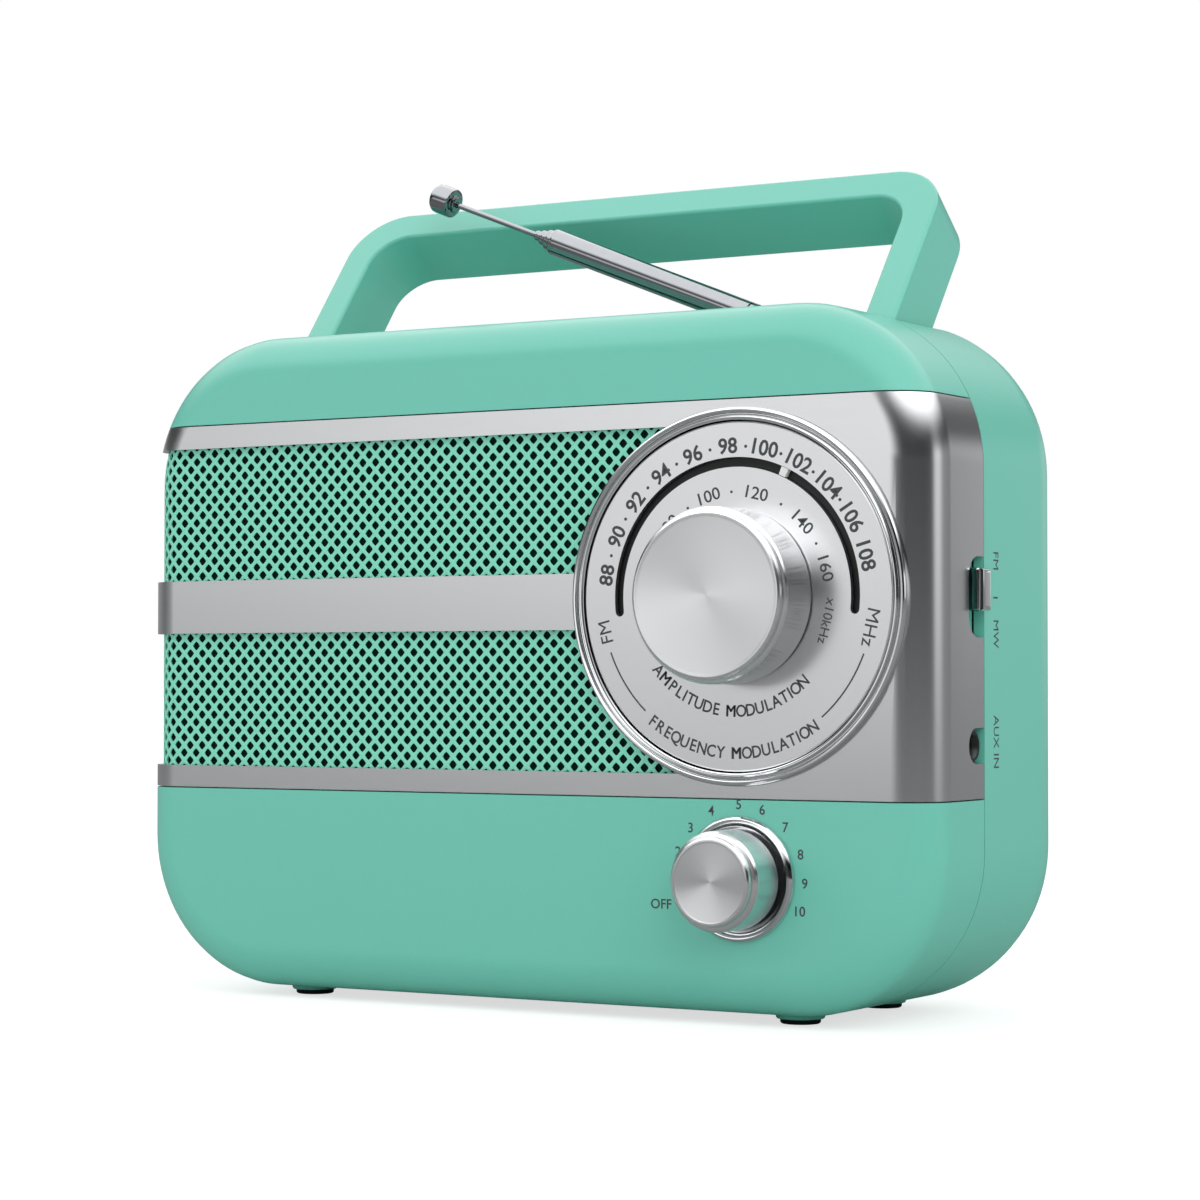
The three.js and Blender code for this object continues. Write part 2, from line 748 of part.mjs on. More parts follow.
// The room that a leg sweeps between its rest and folded places, widened by spread.
function sweepShape(spread) {
  const radius = legRadius + spread;
  const far = 3 * caseDepth;
  const folded = lean + handleFold * degree;
  const reachFrom = (side, angle) => [
    handlePivotY - side * radius * Math.cos(angle) + far * Math.sin(angle),
    pivotZ + side * radius * Math.sin(angle) + far * Math.cos(angle),
  ];
  const shape = new THREE.Shape();
  shape.absarc(handlePivotY, pivotZ, radius, -folded, Math.PI - lean, true);
  shape.lineTo(...reachFrom(1, lean));
  shape.lineTo(...reachFrom(-1, folded));
  return shape;
}

function antennaGroove(radius) {
  return rodX(radius, antennaX - antennaGrooveLength, antennaX, antennaY, antennaZ, 24);
}

const grooveRadius = antennaTubes[0].outer + 0.6;
const wellBottom = caseTop - antennaWellDepth;

function rearShell() {
  const start = seamDepth + gap / 2;
  const whole = body(0, start);
  const wall = cut(whole, body(rearWall));
  const postRadius = screwHeadRadius + 2.2;
  const posts = screwPlaces.map(({ x, z }) => rod(postRadius, start, caseDepth, x, z));
  const sides = [-1, 1].map((side) => {
    const xs = [handleReach - handleThickness - slotSide, handleReach + slotSide].map((x) => side * x);
    const [x0, x1] = [Math.min(...xs), Math.max(...xs)];
    return { x0, x1, side };
  });
  const liners = sides.map(({ x0, x1 }) =>
    slabX(sweepShape(slotSide + slotWall), x0 - slotWall, x1 + slotWall, 12),
  );
  const slots = sides.map(({ x0, x1 }) => slabX(sweepShape(slotSide), x0, x1, 12));
  const well = rodZ(antennaWellRadius + rearWall, wellBottom - rearWall, caseWidth, antennaX, antennaY, 32);
  const inside = [...posts, ...liners, well, antennaGroove(grooveRadius + rearWall)];
  const filled = join(wall, ...inside.map((piece) => piece.intersect(whole)));
  return cut(
    filled,
    ...slots,
    rodZ(antennaWellRadius, wellBottom, caseWidth, antennaX, antennaY, 32),
    rodZ(1.9, wellBottom - 10, wellBottom + 1, antennaX, antennaY, 16),
    antennaGroove(grooveRadius),
    slab(doorShape(gap), caseDepth - 10, caseDepth + 10, 6),
    ...screwPlaces.flatMap(({ x, z }) => [
      rod(screwHeadRadius + 0.6, seamDepth + screwSeatDepth, caseDepth + 1, x, z),
      rod(screwShankRadius + gap, 0, caseDepth, x, z, 16),
    ]),
    ...sides.map(({ side }) => rodX(handlePinRadius + gap, ...pinEnds(side, gap), handlePivotY, pivotZ, 20)),
  );
}

// A pin crosses its slot and ends inside the slot's two walls.
function pinEnds(side, spread) {
  const ends = [handleReach - handleThickness - slotSide - 1.5, handleReach + slotSide + 1.5];
  const [x0, x1] = ends.map((x) => side * x).sort((a, b) => a - b);
  return [x0 - spread, x1 + spread];
}

add("rear_shell", rearShell(), mint);
for (const [name, side] of [["handle_pin_left", -1], ["handle_pin_right", 1]])
  add(name, rodX(handlePinRadius, ...pinEnds(side, 0), handlePivotY, pivotZ, 20), steel);

// Handle: a strap bent into a U, drawn flat with the pivots on its base line, then leaned back.
const handleBevel = 1.4;

function handleShape() {
  const [outer, inner] = [handleReach, handleReach - handleThickness];
  const [top, under] = [handleLength, handleLength - handleThickness];
  const foot = -2 * legRadius;
  const [outerX, outerZ] = [outer - handleOuterRadius, top - handleOuterRadius];
  const [innerX, innerZ] = [inner - handleInnerRadius, under - handleInnerRadius];
  const shape = new THREE.Shape();
  shape.moveTo(outer, foot);
  shape.lineTo(outer, outerZ);
  shape.absarc(outerX, outerZ, handleOuterRadius, 0, 90 * degree);
  shape.lineTo(-outerX, top);
  shape.absarc(-outerX, outerZ, handleOuterRadius, 90 * degree, 180 * degree);
  shape.lineTo(-outer, foot);
  shape.lineTo(-inner, foot);
  shape.lineTo(-inner, innerZ);
  shape.absarc(-innerX, innerZ, handleInnerRadius, 180 * degree, 90 * degree, true);
  shape.lineTo(innerX, under);
  shape.absarc(innerX, innerZ, handleInnerRadius, 90 * degree, 0, true);
  shape.lineTo(inner, foot);
  return shape;
}

const strap = new THREE.ExtrudeGeometry(handleShape(), {
  depth: handleDepth - 2 * handleBevel,
  bevelThickness: handleBevel,
  bevelSize: handleBevel,
  bevelOffset: -handleBevel,
  bevelSegments: 2,
  curveSegments: 8,
}).translate(0, 0, handleBevel - handleDepth / 2);
const reach = handleReach + 5;
const envelope = join(
  box(-reach, reach, 0, handleLength + 1, -legRadius, legRadius),
  rodX(legRadius, -reach, reach, 0, 0, 32),
);
const handle = cut(solidOf(strap).intersect(envelope), rodX(handlePinRadius + gap, -reach, reach, 0, 0, 20));
const handleGroup = new THREE.Group();
handleGroup.position.set(0, handlePivotY, pivotZ);
handleGroup.rotation.x = 90 * degree - lean;
radio.add(handleGroup);
add("handle", handle, mint, handleGroup);

// Telescopic antenna: a turret that swivels in its well, and a mast drawn along -X and tilted up.
const turretTop = antennaZ - 6.4;
const forkRadius = 3;
const knuckleHalf = 1.9;
const earInner = knuckleHalf + gap;
const earOuter = earInner + 1.9;
const ears = [[-earOuter, -earInner], [earInner, earOuter]].map(([y0, y1]) =>
  join(
    box(antennaX - forkRadius, antennaX + forkRadius, antennaY + y0, antennaY + y1, turretTop - 1, antennaZ),
    rod(forkRadius, antennaY + y0, antennaY + y1, antennaX, antennaZ),
  ),
);
const pinRadius = 1;
const base = cut(
  join(rodZ(antennaWellRadius - 1.4, wellBottom + gap, turretTop, antennaX, antennaY, 32), ...ears),
  rod(pinRadius + gap, antennaY - 10, antennaY + 10, antennaX, antennaZ, 12),
  rodZ(1.1 + gap, wellBottom - 1, wellBottom + 3.2, antennaX, antennaY, 12),
);
add("antenna_base", base, chrome);
add("antenna_pin", rod(pinRadius, antennaY - earOuter, antennaY + earOuter, antennaX, antennaZ, 12), steel);
const pivotScrew = join(
  rodZ(1.1, wellBottom - rearWall - 1, wellBottom + 2.8, antennaX, antennaY, 12),
  rodZ(3, wellBottom - rearWall - 2.4, wellBottom - rearWall - gap, antennaX, antennaY, 16),
);
add("antenna_base_screw", pivotScrew, steel);

const mast = new THREE.Group();
mast.position.set(antennaX, antennaY, antennaZ);
mast.rotation.y = antennaTilt * degree;
radio.add(mast);

const tongueHeight = 2.6;
const knuckle = cut(
  join(
    box(-antennaTubes[0].start + gap, 0, -knuckleHalf, knuckleHalf, -tongueHeight, tongueHeight),
    rod(tongueHeight, -knuckleHalf, knuckleHalf, 0, 0),
  ),
  rod(pinRadius + gap, -10, 10, 0, 0, 12),
);
add("antenna_knuckle", knuckle, chrome, mast);
for (const { name, outer, bore, start, length } of antennaTubes) {
  const tube = cut(
    rodX(outer, -start - length, -start, 0, 0, 20),
    rodX(bore, -start - length - 1, 1 - start, 0, 0, 20),
  );
  add(name, tube, chrome, mast);
}
add("antenna_rod", rodX(antennaRodRadius, -antennaRodEnd - 3, -antennaRodStart, 0, 0, 12), chrome, mast);
const tip = cut(
  rodX(antennaTipRadius, -antennaRodEnd - antennaTipLength, -antennaRodEnd, 0, 0, 24),
  rodX(antennaRodRadius + gap, -antennaRodEnd - 3 - gap, 0, 0, 0, 12),
);
add("antenna_tip", tip, chrome, mast);

// Case screws, driven from the back.
for (const { name, x, z } of screwPlaces) {
  const seat = seamDepth + screwSeatDepth + gap;
  const screw = join(
    rod(screwHeadRadius, seat, seat + 2.2, x, z, 20),
    rod(screwShankRadius, seamDepth - 12, seat + 1, x, z, 12),
  );
  const driverSlot = box(x - 2, x + 2, seat + 1.2, seat + 3, z - 0.4, z + 0.4);
  add("case_screw_" + name, cut(screw, driverSlot), steel);
}

// Feet: rubber pads in bosses under the case.
for (const [end, y] of [["front", frontFootY], ["rear", caseDepth - rearFootInset]])
  for (const [side, x] of [["left", -footX], ["right", footX]])
    add("foot_" + end + "_" + side, rodZ(footRadius, 0, footHeight - gap, x, y, 24), rubber);

// The origin goes to the middle of the footprint, between the knob's face and the case's back.
radio.position.y = (tuningKnobReach - caseDepth) / 2;

export default radio;
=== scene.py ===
import json
import math

import bmesh
import bpy
from mathutils import Matrix, Vector


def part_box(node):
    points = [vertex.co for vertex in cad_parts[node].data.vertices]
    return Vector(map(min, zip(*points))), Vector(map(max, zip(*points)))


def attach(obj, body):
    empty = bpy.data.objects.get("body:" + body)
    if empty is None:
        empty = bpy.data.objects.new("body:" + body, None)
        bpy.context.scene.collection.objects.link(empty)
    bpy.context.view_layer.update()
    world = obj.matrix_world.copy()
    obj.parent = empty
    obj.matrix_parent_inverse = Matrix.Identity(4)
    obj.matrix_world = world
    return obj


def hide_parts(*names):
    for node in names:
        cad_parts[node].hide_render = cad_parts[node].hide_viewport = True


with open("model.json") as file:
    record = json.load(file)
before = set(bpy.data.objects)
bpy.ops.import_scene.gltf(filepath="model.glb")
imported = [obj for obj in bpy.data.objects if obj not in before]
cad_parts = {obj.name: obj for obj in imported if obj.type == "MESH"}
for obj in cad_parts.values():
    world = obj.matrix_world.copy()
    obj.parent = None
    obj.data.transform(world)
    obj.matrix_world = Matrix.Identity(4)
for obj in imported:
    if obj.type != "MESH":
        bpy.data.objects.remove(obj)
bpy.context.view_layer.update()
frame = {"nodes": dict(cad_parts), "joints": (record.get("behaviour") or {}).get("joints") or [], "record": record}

mm = 0.001
same = 1e-6  # metres; closer than this is one place
meetsWithin = 1e-5  # metres; neighbouring mesh cells join within this
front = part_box("fascia")[0].y  # the flat of the metal front
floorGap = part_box("rear_shell")[0].z / mm  # underside of the case above the table, mm
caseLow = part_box("front_shell")[0]
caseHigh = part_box("rear_shell")[1]
joints = {joint["name"]: joint for joint in frame["joints"]}
dialCentre = Vector(joints["tuning_turn"]["pos_m"])
volumeCentre = Vector(joints["volume_turn"]["pos_m"])
handlePivot = Vector(joints["handle_fold"]["pos_m"])
mastPivot = Vector(joints["antenna_tilt"]["pos_m"])
mastDirection = Vector(joints["antenna_stage_2_slide"]["axis"])
back = Vector((0, 1, 0))


def at(x, y, z):  # mm from the middle, behind the metal front and above the case's underside
    return Vector((x * mm, front + y * mm, (z + floorGap) * mm))


def deselectAll():
    if bpy.context.mode != "OBJECT":
        bpy.ops.object.mode_set(mode="OBJECT")
    bpy.ops.object.select_all(action="DESELECT")


def takeUp(piece):
    deselectAll()
    piece.select_set(True)
    bpy.context.view_layer.objects.active = piece


def settle(piece):  # the piece's place goes into its mesh
    takeUp(piece)
    bpy.ops.object.transform_apply(location=True, rotation=True, scale=True)


def newPiece(name):  # the primitive just added, at its place
    piece = bpy.context.active_object
    piece.name = name
    piece.data.name = name
    settle(piece)
    return piece


def edit(piece):
    takeUp(piece)
    bpy.ops.object.mode_set(mode="EDIT")
    bpy.ops.mesh.select_all(action="DESELECT")


def pick(piece, kind, wanted):
    bpy.ops.mesh.select_mode(type=kind)
    bpy.ops.mesh.select_all(action="DESELECT")
    mesh = bmesh.from_edit_mesh(piece.data)
    for item in {"VERT": mesh.verts, "EDGE": mesh.edges, "FACE": mesh.faces}[kind]:
        item.select_set(wanted(item))
    bmesh.update_edit_mesh(piece.data)


def applyModifier(piece, kind, settings):
    takeUp(piece)
    modifier = piece.modifiers.new(kind.lower(), kind)
    for name, value in settings.items():
        setattr(modifier, name, value)
    bpy.ops.object.modifier_apply(modifier=modifier.name)


def remove(*pieces):
    for piece in pieces:
        bpy.data.objects.remove(piece)


def combine(piece, tool, operation="DIFFERENCE", keepTool=False):
    applyModifier(piece, "BOOLEAN", {"object": tool, "operation": operation, "solver": "EXACT"})
    if not keepTool:
        remove(tool)
    return piece


def softenEdges(piece, width, steps=2, angle=35):
    size = {"width": width * mm, "segments": steps}
    where = {"limit_method": "ANGLE", "angle_limit": math.radians(angle)}
    corners = {"use_clamp_overlap": True, "miter_outer": "MITER_ARC"}
    applyModifier(piece, "BEVEL", {**size, **where, **corners})


def block(name, low, high):
    deselectAll()
    bpy.ops.mesh.primitive_cube_add(size=1, location=(low + high) / 2, scale=high - low)
    return newPiece(name)


def barrel(name, radius, start, end, steps=48):
    deselectAll()
    along = end - start
    turn = along.to_track_quat("Z", "Y").to_euler()
    bpy.ops.mesh.primitive_cylinder_add(
        vertices=steps, radius=radius * mm, depth=along.length, location=(start + end) / 2, rotation=turn
    )
    return newPiece(name)


# A turned piece: its profile is (radius, distance along the axis) in mm, and a radius of 0 closes an end.
def turned(name, profile, foot, axis, steps=96):
    deselectAll()
    capped = profile[0][0] == 0
    rings = profile[1:] if capped else profile
    radius, along = rings[0]
    fill = "TRIFAN" if capped else "NOTHING"
    bpy.ops.mesh.primitive_circle_add(
        vertices=steps, radius=radius * mm, fill_type=fill, location=(0, 0, along * mm)
    )
    piece = newPiece(name)
    edit(piece)
    if capped:
        pick(piece, "VERT", lambda vert: vert.co.xy.length < radius * mm / 2)
        bpy.ops.transform.translate(value=(0, 0, (profile[0][1] - along) * mm))
    pick(piece, "EDGE", lambda edge: all(vert.co.xy.length > radius * mm / 2 for vert in edge.verts))
    for nextRadius, nextAlong in rings[1:]:
        step = {"value": (0, 0, (nextAlong - along) * mm)}
        bpy.ops.mesh.extrude_region_move(TRANSFORM_OT_translate=step)
        if nextRadius == 0:
            bpy.ops.mesh.merge(type="CENTER")
            break
        share = nextRadius / radius
        bpy.ops.transform.resize(value=(share, share, 1), center_override=(0, 0, nextAlong * mm))
        radius, along = nextRadius, nextAlong
    bpy.ops.mesh.select_all(action="SELECT")
    bpy.ops.mesh.remove_doubles(threshold=same)
    bpy.ops.mesh.normals_make_consistent(inside=False)
    deselectAll()
    piece.matrix_world = Matrix.Translation(foot) @ axis.to_track_quat("Z", "Y").to_matrix().to_4x4()
    settle(piece)
    return piece


def copyOf(piece, name, shift):
    copied = piece.copy()
    copied.data = piece.data.copy()
    copied.name = name
    bpy.context.scene.collection.objects.link(copied)
    copied.location = shift
    settle(copied)
    return copied


def joined(name, pieces):
    deselectAll()
    for piece in pieces:
        piece.select_set(True)
    bpy.context.view_layer.objects.active = pieces[0]
    bpy.ops.object.join()
    pieces[0].name = name
    return pieces[0]


def fit(piece, body, material, nodes=(), angle=30):
    piece.data.materials.clear()
    piece.data.materials.append(material)
    takeUp(piece)
    bpy.ops.object.shade_smooth_by_angle(angle=math.radians(angle))
    applyModifier(piece, "WEIGHTED_NORMAL", {"keep_sharp": True})  # flats stay flat beside soft edges
    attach(piece, body)
    if nodes:
        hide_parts(*nodes)
    return piece


def hexColour(code):
    channels = [int(code[place : place + 2], 16) / 255 for place in (1, 3, 5)]
    linear = [value / 12.92 if value <= 0.04045 else ((value + 0.055) / 1.055) ** 2.4 for value in channels]
    return (*linear, 1)


def perMm(size):  # a pattern's scale from the real size of its features
    return 1 / (size * mm)


def newMaterial(name, shaderSettings):
    material = bpy.data.materials.new(name)
    material.use_nodes = True
    shader = material.node_tree.nodes["Principled BSDF"]
    for socket, value in shaderSettings.items():
        shader.inputs[socket].default_value = value
    return material, shader


def addNode(material, kind, settings, links=None):
    node = material.node_tree.nodes.new(kind)
    for name, value in settings.items():
        if isinstance(name, int) or name in node.inputs:
            node.inputs[name].default_value = value
        else:
            setattr(node, name, value)
    for socket, source in (links or {}).items():
        material.node_tree.links.new(source, node.inputs[socket])
    return node


# A grain of a real size drives a small change of colour, roughness and relief.
def grain(material, shader, light, dark, size, roughness, relief, stretch=(1, 1, 1), detail=3):
    tree = material.node_tree
    place = addNode(material, "ShaderNodeTexCoord", {})
    turn = addNode(material, "ShaderNodeMapping", {"Scale": stretch}, {"Vector": place.outputs["Object"]})
    noise = addNode(
        material,
        "ShaderNodeTexNoise",
        {"Scale": perMm(size), "Detail": detail, "Roughness": 0.6},
        {"Vector": turn.outputs["Vector"]},
    )
    shade = addNode(
        material, "ShaderNodeMix", {"data_type": "RGBA"}, {"Factor": noise.outputs["Fac"]}
    )
    shade.inputs[6].default_value = hexColour(dark)
    shade.inputs[7].default_value = hexColour(light)
    tree.links.new(shade.outputs[2], shader.inputs["Base Color"])
    rough = addNode(
        material,
        "ShaderNodeMapRange",
        {"To Min": roughness[0], "To Max": roughness[1]},
        {"Value": noise.outputs["Fac"]},
    )
    tree.links.new(rough.outputs["Result"], shader.inputs["Roughness"])
    bump = addNode(
        material,
        "ShaderNodeBump",
        {"Strength": 1, "Distance": relief * mm},
        {"Height": noise.outputs["Fac"]},
    )
    tree.links.new(bump.outputs["Normal"], shader.inputs["Normal"])
    return noise


# Moulded ABS, mint: an even satin skin whose fine mould texture breaks the highlights a little.
mintAbs, shader = newMaterial("mouldedAbsMint", {"IOR": 1.53, "Specular IOR Level": 0.5})
grain(mintAbs, shader, "#6EC4B2", "#69BFAC", 0.35, (0.3, 0.37), 0.003)

# Satin aluminium sheet, brushed along its length: long faint streaks in a soft reflection.
brushedAluminium, shader = newMaterial("brushedAluminium", {"Metallic": 1})
grain(brushedAluminium, shader, "#DCDDDF", "#D5D7D9", 0.25, (0.19, 0.25), 0.0004, (0.02, 1, 1), 4)

# Anodised dial plate: paler and softer than the brushed front, with a very fine grain.
dialSatin, shader = newMaterial("anodisedDialPlate", {"Metallic": 1})
grain(dialSatin, shader, "#F1F2F3", "#EAEBED", 0.15, (0.26, 0.31), 0.0003)

# Powder-coated steel mesh, a lighter mint than the case, with a soft shine on each wire.
coatedMesh, shader = newMaterial("powderCoatedMesh", {"IOR": 1.5})
grain(coatedMesh, shader, "#84DDC3", "#79D2B8", 0.5, (0.32, 0.42), 0.004)

# Chrome plate on brass and zinc: near-mirror, with faint polishing haze.
chromePlate, shader = newMaterial("chromePlate", {"Metallic": 1})
grain(chromePlate, shader, "#E3E5E7", "#DBDDDF", 3, (0.06, 0.1), 0.0003)

# Chrome of the telescopic antenna, darkened to a smoky mirror: painted shade that dims its reflections.
antennaShadedChrome, shader = newMaterial("antennaChromePaintedShade", {"Metallic": 1})
grain(antennaShadedChrome, shader, "#96989B", "#8C8E91", 2, (0.08, 0.13), 0.0003)

# Moulded black plastic: deep grey-black with a low sheen.
blackPlastic, shader = newMaterial("mouldedBlackPlastic", {"IOR": 1.5})
grain(blackPlastic, shader, "#17191B", "#0F1112", 0.4, (0.4, 0.5), 0.004)

# Painted shade: a very dark mint sheet behind the mesh that stands in for the shade inside the case; it swallows
# nearly all the light.
paintedShadeSheet, shader = newMaterial("paintedShadeSheet", {"IOR": 1.4, "Specular IOR Level": 0.1})
grain(paintedShadeSheet, shader, "#0A2A24", "#061C18", 0.4, (0.85, 0.95), 0.05)

# Printed ink: flat dark grey with a slightly uneven edge of tone.
printedInk, shader = newMaterial("printedInk", {"IOR": 1.45})
grain(printedInk, shader, "#45494D", "#3B3F43", 0.2, (0.45, 0.6), 0.001)

# Pointer: off-white paint on a small raised mark.
pointerPaint, shader = newMaterial("pointerPaint", {"IOR": 1.45})
grain(pointerPaint, shader, "#E3E7E4", "#D6DAD7", 0.3, (0.35, 0.45), 0.001)

# Zinc-plated steel: cool grey, finely mottled.
zincSteel, shader = newMaterial("zincPlatedSteel", {"Metallic": 1})
grain(zincSteel, shader, "#B4B7BA", "#9DA1A5", 0.6, (0.28, 0.42), 0.002)

# Foot rubber: matt, slightly dusty black.
footRubber, shader = newMaterial("footRubber", {"IOR": 1.5, "Specular IOR Level": 0.3})
grain(footRubber, shader, "#1D1D1E", "#131314", 0.3, (0.75, 0.9), 0.01)

# Moulded pale plastic case of the variable capacitor.
paleCase, shader = newMaterial("paleMouldedPlastic", {"IOR": 1.5})
grain(paleCase, shader, "#B9B6AC", "#ABA89D", 0.5, (0.45, 0.6), 0.004)

# Pressed paper cone, doped black, with visible fibre.
conePaper, shader = newMaterial("pressedConePaper", {"IOR": 1.4})
grain(conePaper, shader, "#2E2C29", "#1F1D1B", 0.7, (0.8, 0.95), 0.03, (1, 1, 0.3))

# Sintered ferrite: dark grey and faintly metallic.
sinteredFerrite, shader = newMaterial("sinteredFerrite", {"Metallic": 0.3})
grain(sinteredFerrite, shader, "#3D3D41", "#2D2D31", 0.4, (0.5, 0.65), 0.01)

# Enamelled copper wire, wound side by side: rings across the coil.
copperWire, shader = newMaterial("enamelledCopper", {"Metallic": 1})
grain(copperWire, shader, "#C07A45", "#8A4A22", 0.3, (0.25, 0.4), 0.05, (1, 0.02, 0.02))

# Glass-epoxy circuit board under green solder mask.
boardMask, shader = newMaterial("solderMaskBoard", {"IOR": 1.55})
grain(boardMask, shader, "#2F7A45", "#1F5C33", 1.2, (0.3, 0.45), 0.01)

# Printed film sleeve on the cells.
cellSleeve, shader = newMaterial("printedCellSleeve", {"IOR": 1.5, "Metallic": 0.3})
grain(cellSleeve, shader, "#5E646A", "#4C5157", 2, (0.3, 0.42), 0.004)


# Spun aluminium: turned face whose circular marks throw the light into wedges from the centre.
def spunAluminium(name, centre):
    material, shader = newMaterial(name, {"Metallic": 1, "Anisotropic": 0.9, "Anisotropic Rotation": 0.25})
    tree = material.node_tree
    place = addNode(material, "ShaderNodeTexCoord", {})
    centred = addNode(
        material,
        "ShaderNodeMapping",
        {"Location": (-centre.x, -0.02 * centre.y, -centre.z), "Scale": (1, 0.02, 1)},
        {"Vector": place.outputs["Object"]},
    )
    away = addNode(material, "ShaderNodeVectorMath", {"operation": "LENGTH"}, {0: centred.outputs["Vector"]})
    rings = addNode(
        material,
        "ShaderNodeTexNoise",
        {"noise_dimensions": "1D", "Scale": perMm(0.16), "Detail": 2},
        {"W": away.outputs["Value"]},
    )
    shade = addNode(material, "ShaderNodeMix", {"data_type": "RGBA"}, {"Factor": rings.outputs["Fac"]})
    shade.inputs[6].default_value = hexColour("#EBECEE")
    shade.inputs[7].default_value = hexColour("#F2F3F4")
    tree.links.new(shade.outputs[2], shader.inputs["Base Color"])
    rough = addNode(
        material, "ShaderNodeMapRange", {"To Min": 0.24, "To Max": 0.28}, {"Value": rings.outputs["Fac"]}
    )
    tree.links.new(rough.outputs["Result"], shader.inputs["Roughness"])
    tangent = addNode(material, "ShaderNodeTangent", {"direction_type": "RADIAL", "axis": "Y"})
    tree.links.new(tangent.outputs["Tangent"], shader.inputs["Tangent"])
    return material


print("finishes ready")

# The case: a box with round corners and a round edge front and back, parted at the seam.

caseShape = {
    "corner": 37,
    "cornerSteps": 24,
    "frontFillet": 10.5,
    "frontSteps": 8,
    "rearFillet": 22,
    "rearSteps": 14,
    "seam": 27.7,
    "seamGap": 0.3,
    "frontWall": 5.4,
    "rearWall": 2.6,
}


def caseBody(name, inset):
    drawnIn = Vector((inset, inset, inset)) * mm
    low = caseLow + drawnIn
    high = caseHigh - drawnIn
    piece = block(name, low, high)
    edit(piece)
    pick(piece, "EDGE", lambda edge: abs(edge.verts[0].co.y - edge.verts[1].co.y) > 10 * mm)
    bpy.ops.mesh.bevel(
        offset=(caseShape["corner"] - inset) * mm, segments=caseShape["cornerSteps"], affect="EDGES"
    )
    for depth, end in ((low.y, "front"), (high.y, "rear")):
        pick(piece, "EDGE", lambda edge: all(abs(vert.co.y - depth) < same for vert in edge.verts))
        bpy.ops.mesh.bevel(
            offset=(caseShape[end + "Fillet"] - inset) * mm, segments=caseShape[end + "Steps"], affect="EDGES"
        )
    deselectAll()
    return piece


wide = 300  # mm, past the case on every side
dialX = 61.4
fasciaShape = {
    "bottom": 48.9,
    "top": 138.4,
    "thickness": 1.2,
    "recess": 2.9,
    "windows": {"upper": (99.9, 132.8), "lower": (54.2, 86.9)},
    "windowBack": 22.7,
    "dialRadius": 42.5,
}


def band(name, low, high):
    return block(name, at(-wide, -wide, low), at(wide, wide, high))


def upTo(name, depth):
    return block(name, at(-wide, -wide, -wide), at(wide, depth, wide))


def behind(name, depth):
    return block(name, at(-wide, depth, -wide), at(wide, wide, wide))


def dialBarrel(name, radius, y0, y1, steps=128):
    foot = Vector((dialCentre.x, front, dialCentre.z))
    return barrel(name, radius, foot + back * y0 * mm, foot + back * y1 * mm, steps)


# Band-switch slot and jack notch, open to the seam.
sideOpenings = {"switch": (93.9, 18.1, 5), "jack": (60.7, 8, 3.9), "front": 19.5}


def sideCutter(name):
    middle, length, radius = sideOpenings[name]
    low = at(100, sideOpenings["front"], middle - length / 2)
    high = at(118, caseShape["seam"] + radius + 1, middle + length / 2)
    piece = block("cutter", low, high)
    edit(piece)
    pick(piece, "EDGE", lambda edge: abs(edge.verts[0].co.x - edge.verts[1].co.x) > 10 * mm)
    bpy.ops.mesh.bevel(offset=radius * mm, segments=10, affect="EDGES")
    deselectAll()
    return piece


frontEnd = caseShape["seam"] - caseShape["seamGap"] / 2
rearStart = caseShape["seam"] + caseShape["seamGap"] / 2

frontShell = combine(caseBody("front_case", 0), upTo("cutter", frontEnd), "INTERSECT")
recess = combine(caseBody("cutter", -1), caseBody("cutter", fasciaShape["recess"]))
combine(recess, band("cutter", fasciaShape["bottom"] - 0.3, fasciaShape["top"] + 0.3), "INTERSECT")
combine(frontShell, recess)
combine(frontShell, caseBody("cutter", caseShape["frontWall"]))
combine(frontShell, barrel("cutter", 31, at(-50, -2, 94.1), at(-50, 8, 94.1), 64))
for hole in (dialCentre, volumeCentre):
    combine(frontShell, barrel("cutter", 3.4, hole - back * 2 * mm, hole + back * 8 * mm, 32))
combine(frontShell, barrel("cutter", 4, at(101, 23.5, 60.7), at(112, 23.5, 60.7), 32))
combine(frontShell, block("cutter", at(101, 22.6, 88), at(112, 25.8, 98)))
softenEdges(frontShell, 0.3)
fit(frontShell, "case", mintAbs, ["front_shell"])
print("front of the case")

# The metal front wraps both side edges and ends at the seam.


def windowCutter(low, high):
    piece = block("cutter", at(-wide, -wide, low), at(dialX, fasciaShape["windowBack"], high))
    return combine(piece, dialBarrel("cutter", fasciaShape["dialRadius"] - 0.3, -50, 50))


fascia = combine(caseBody("metal_front", 0), caseBody("cutter", fasciaShape["thickness"]))
combine(fascia, upTo("cutter", frontEnd), "INTERSECT")
combine(fascia, band("cutter", fasciaShape["bottom"], fasciaShape["top"]), "INTERSECT")
combine(fascia, dialBarrel("cutter", 41.1, -20, 20))
for low, high in fasciaShape["windows"].values():
    combine(fascia, windowCutter(low, high))
for opening in ("switch", "jack"):
    combine(fascia, sideCutter(opening))
softenEdges(fascia, 0.25)
fit(fascia, "case", brushedAluminium, ["fascia"])
print("metal front")

# Grilles: one diamond cell repeated, bent round the left edge and trimmed to its window.

mesh = {
    "pitch": 3.75,
    "row": 1.9,
    "hole": 0.66,
    "corner": 0.9,
    "sink": 0.16,
    "thickness": 0.45,
    "inset": 1.5,
    "overlap": 1.5,
    "length": 178,
    "rows": 19,
}


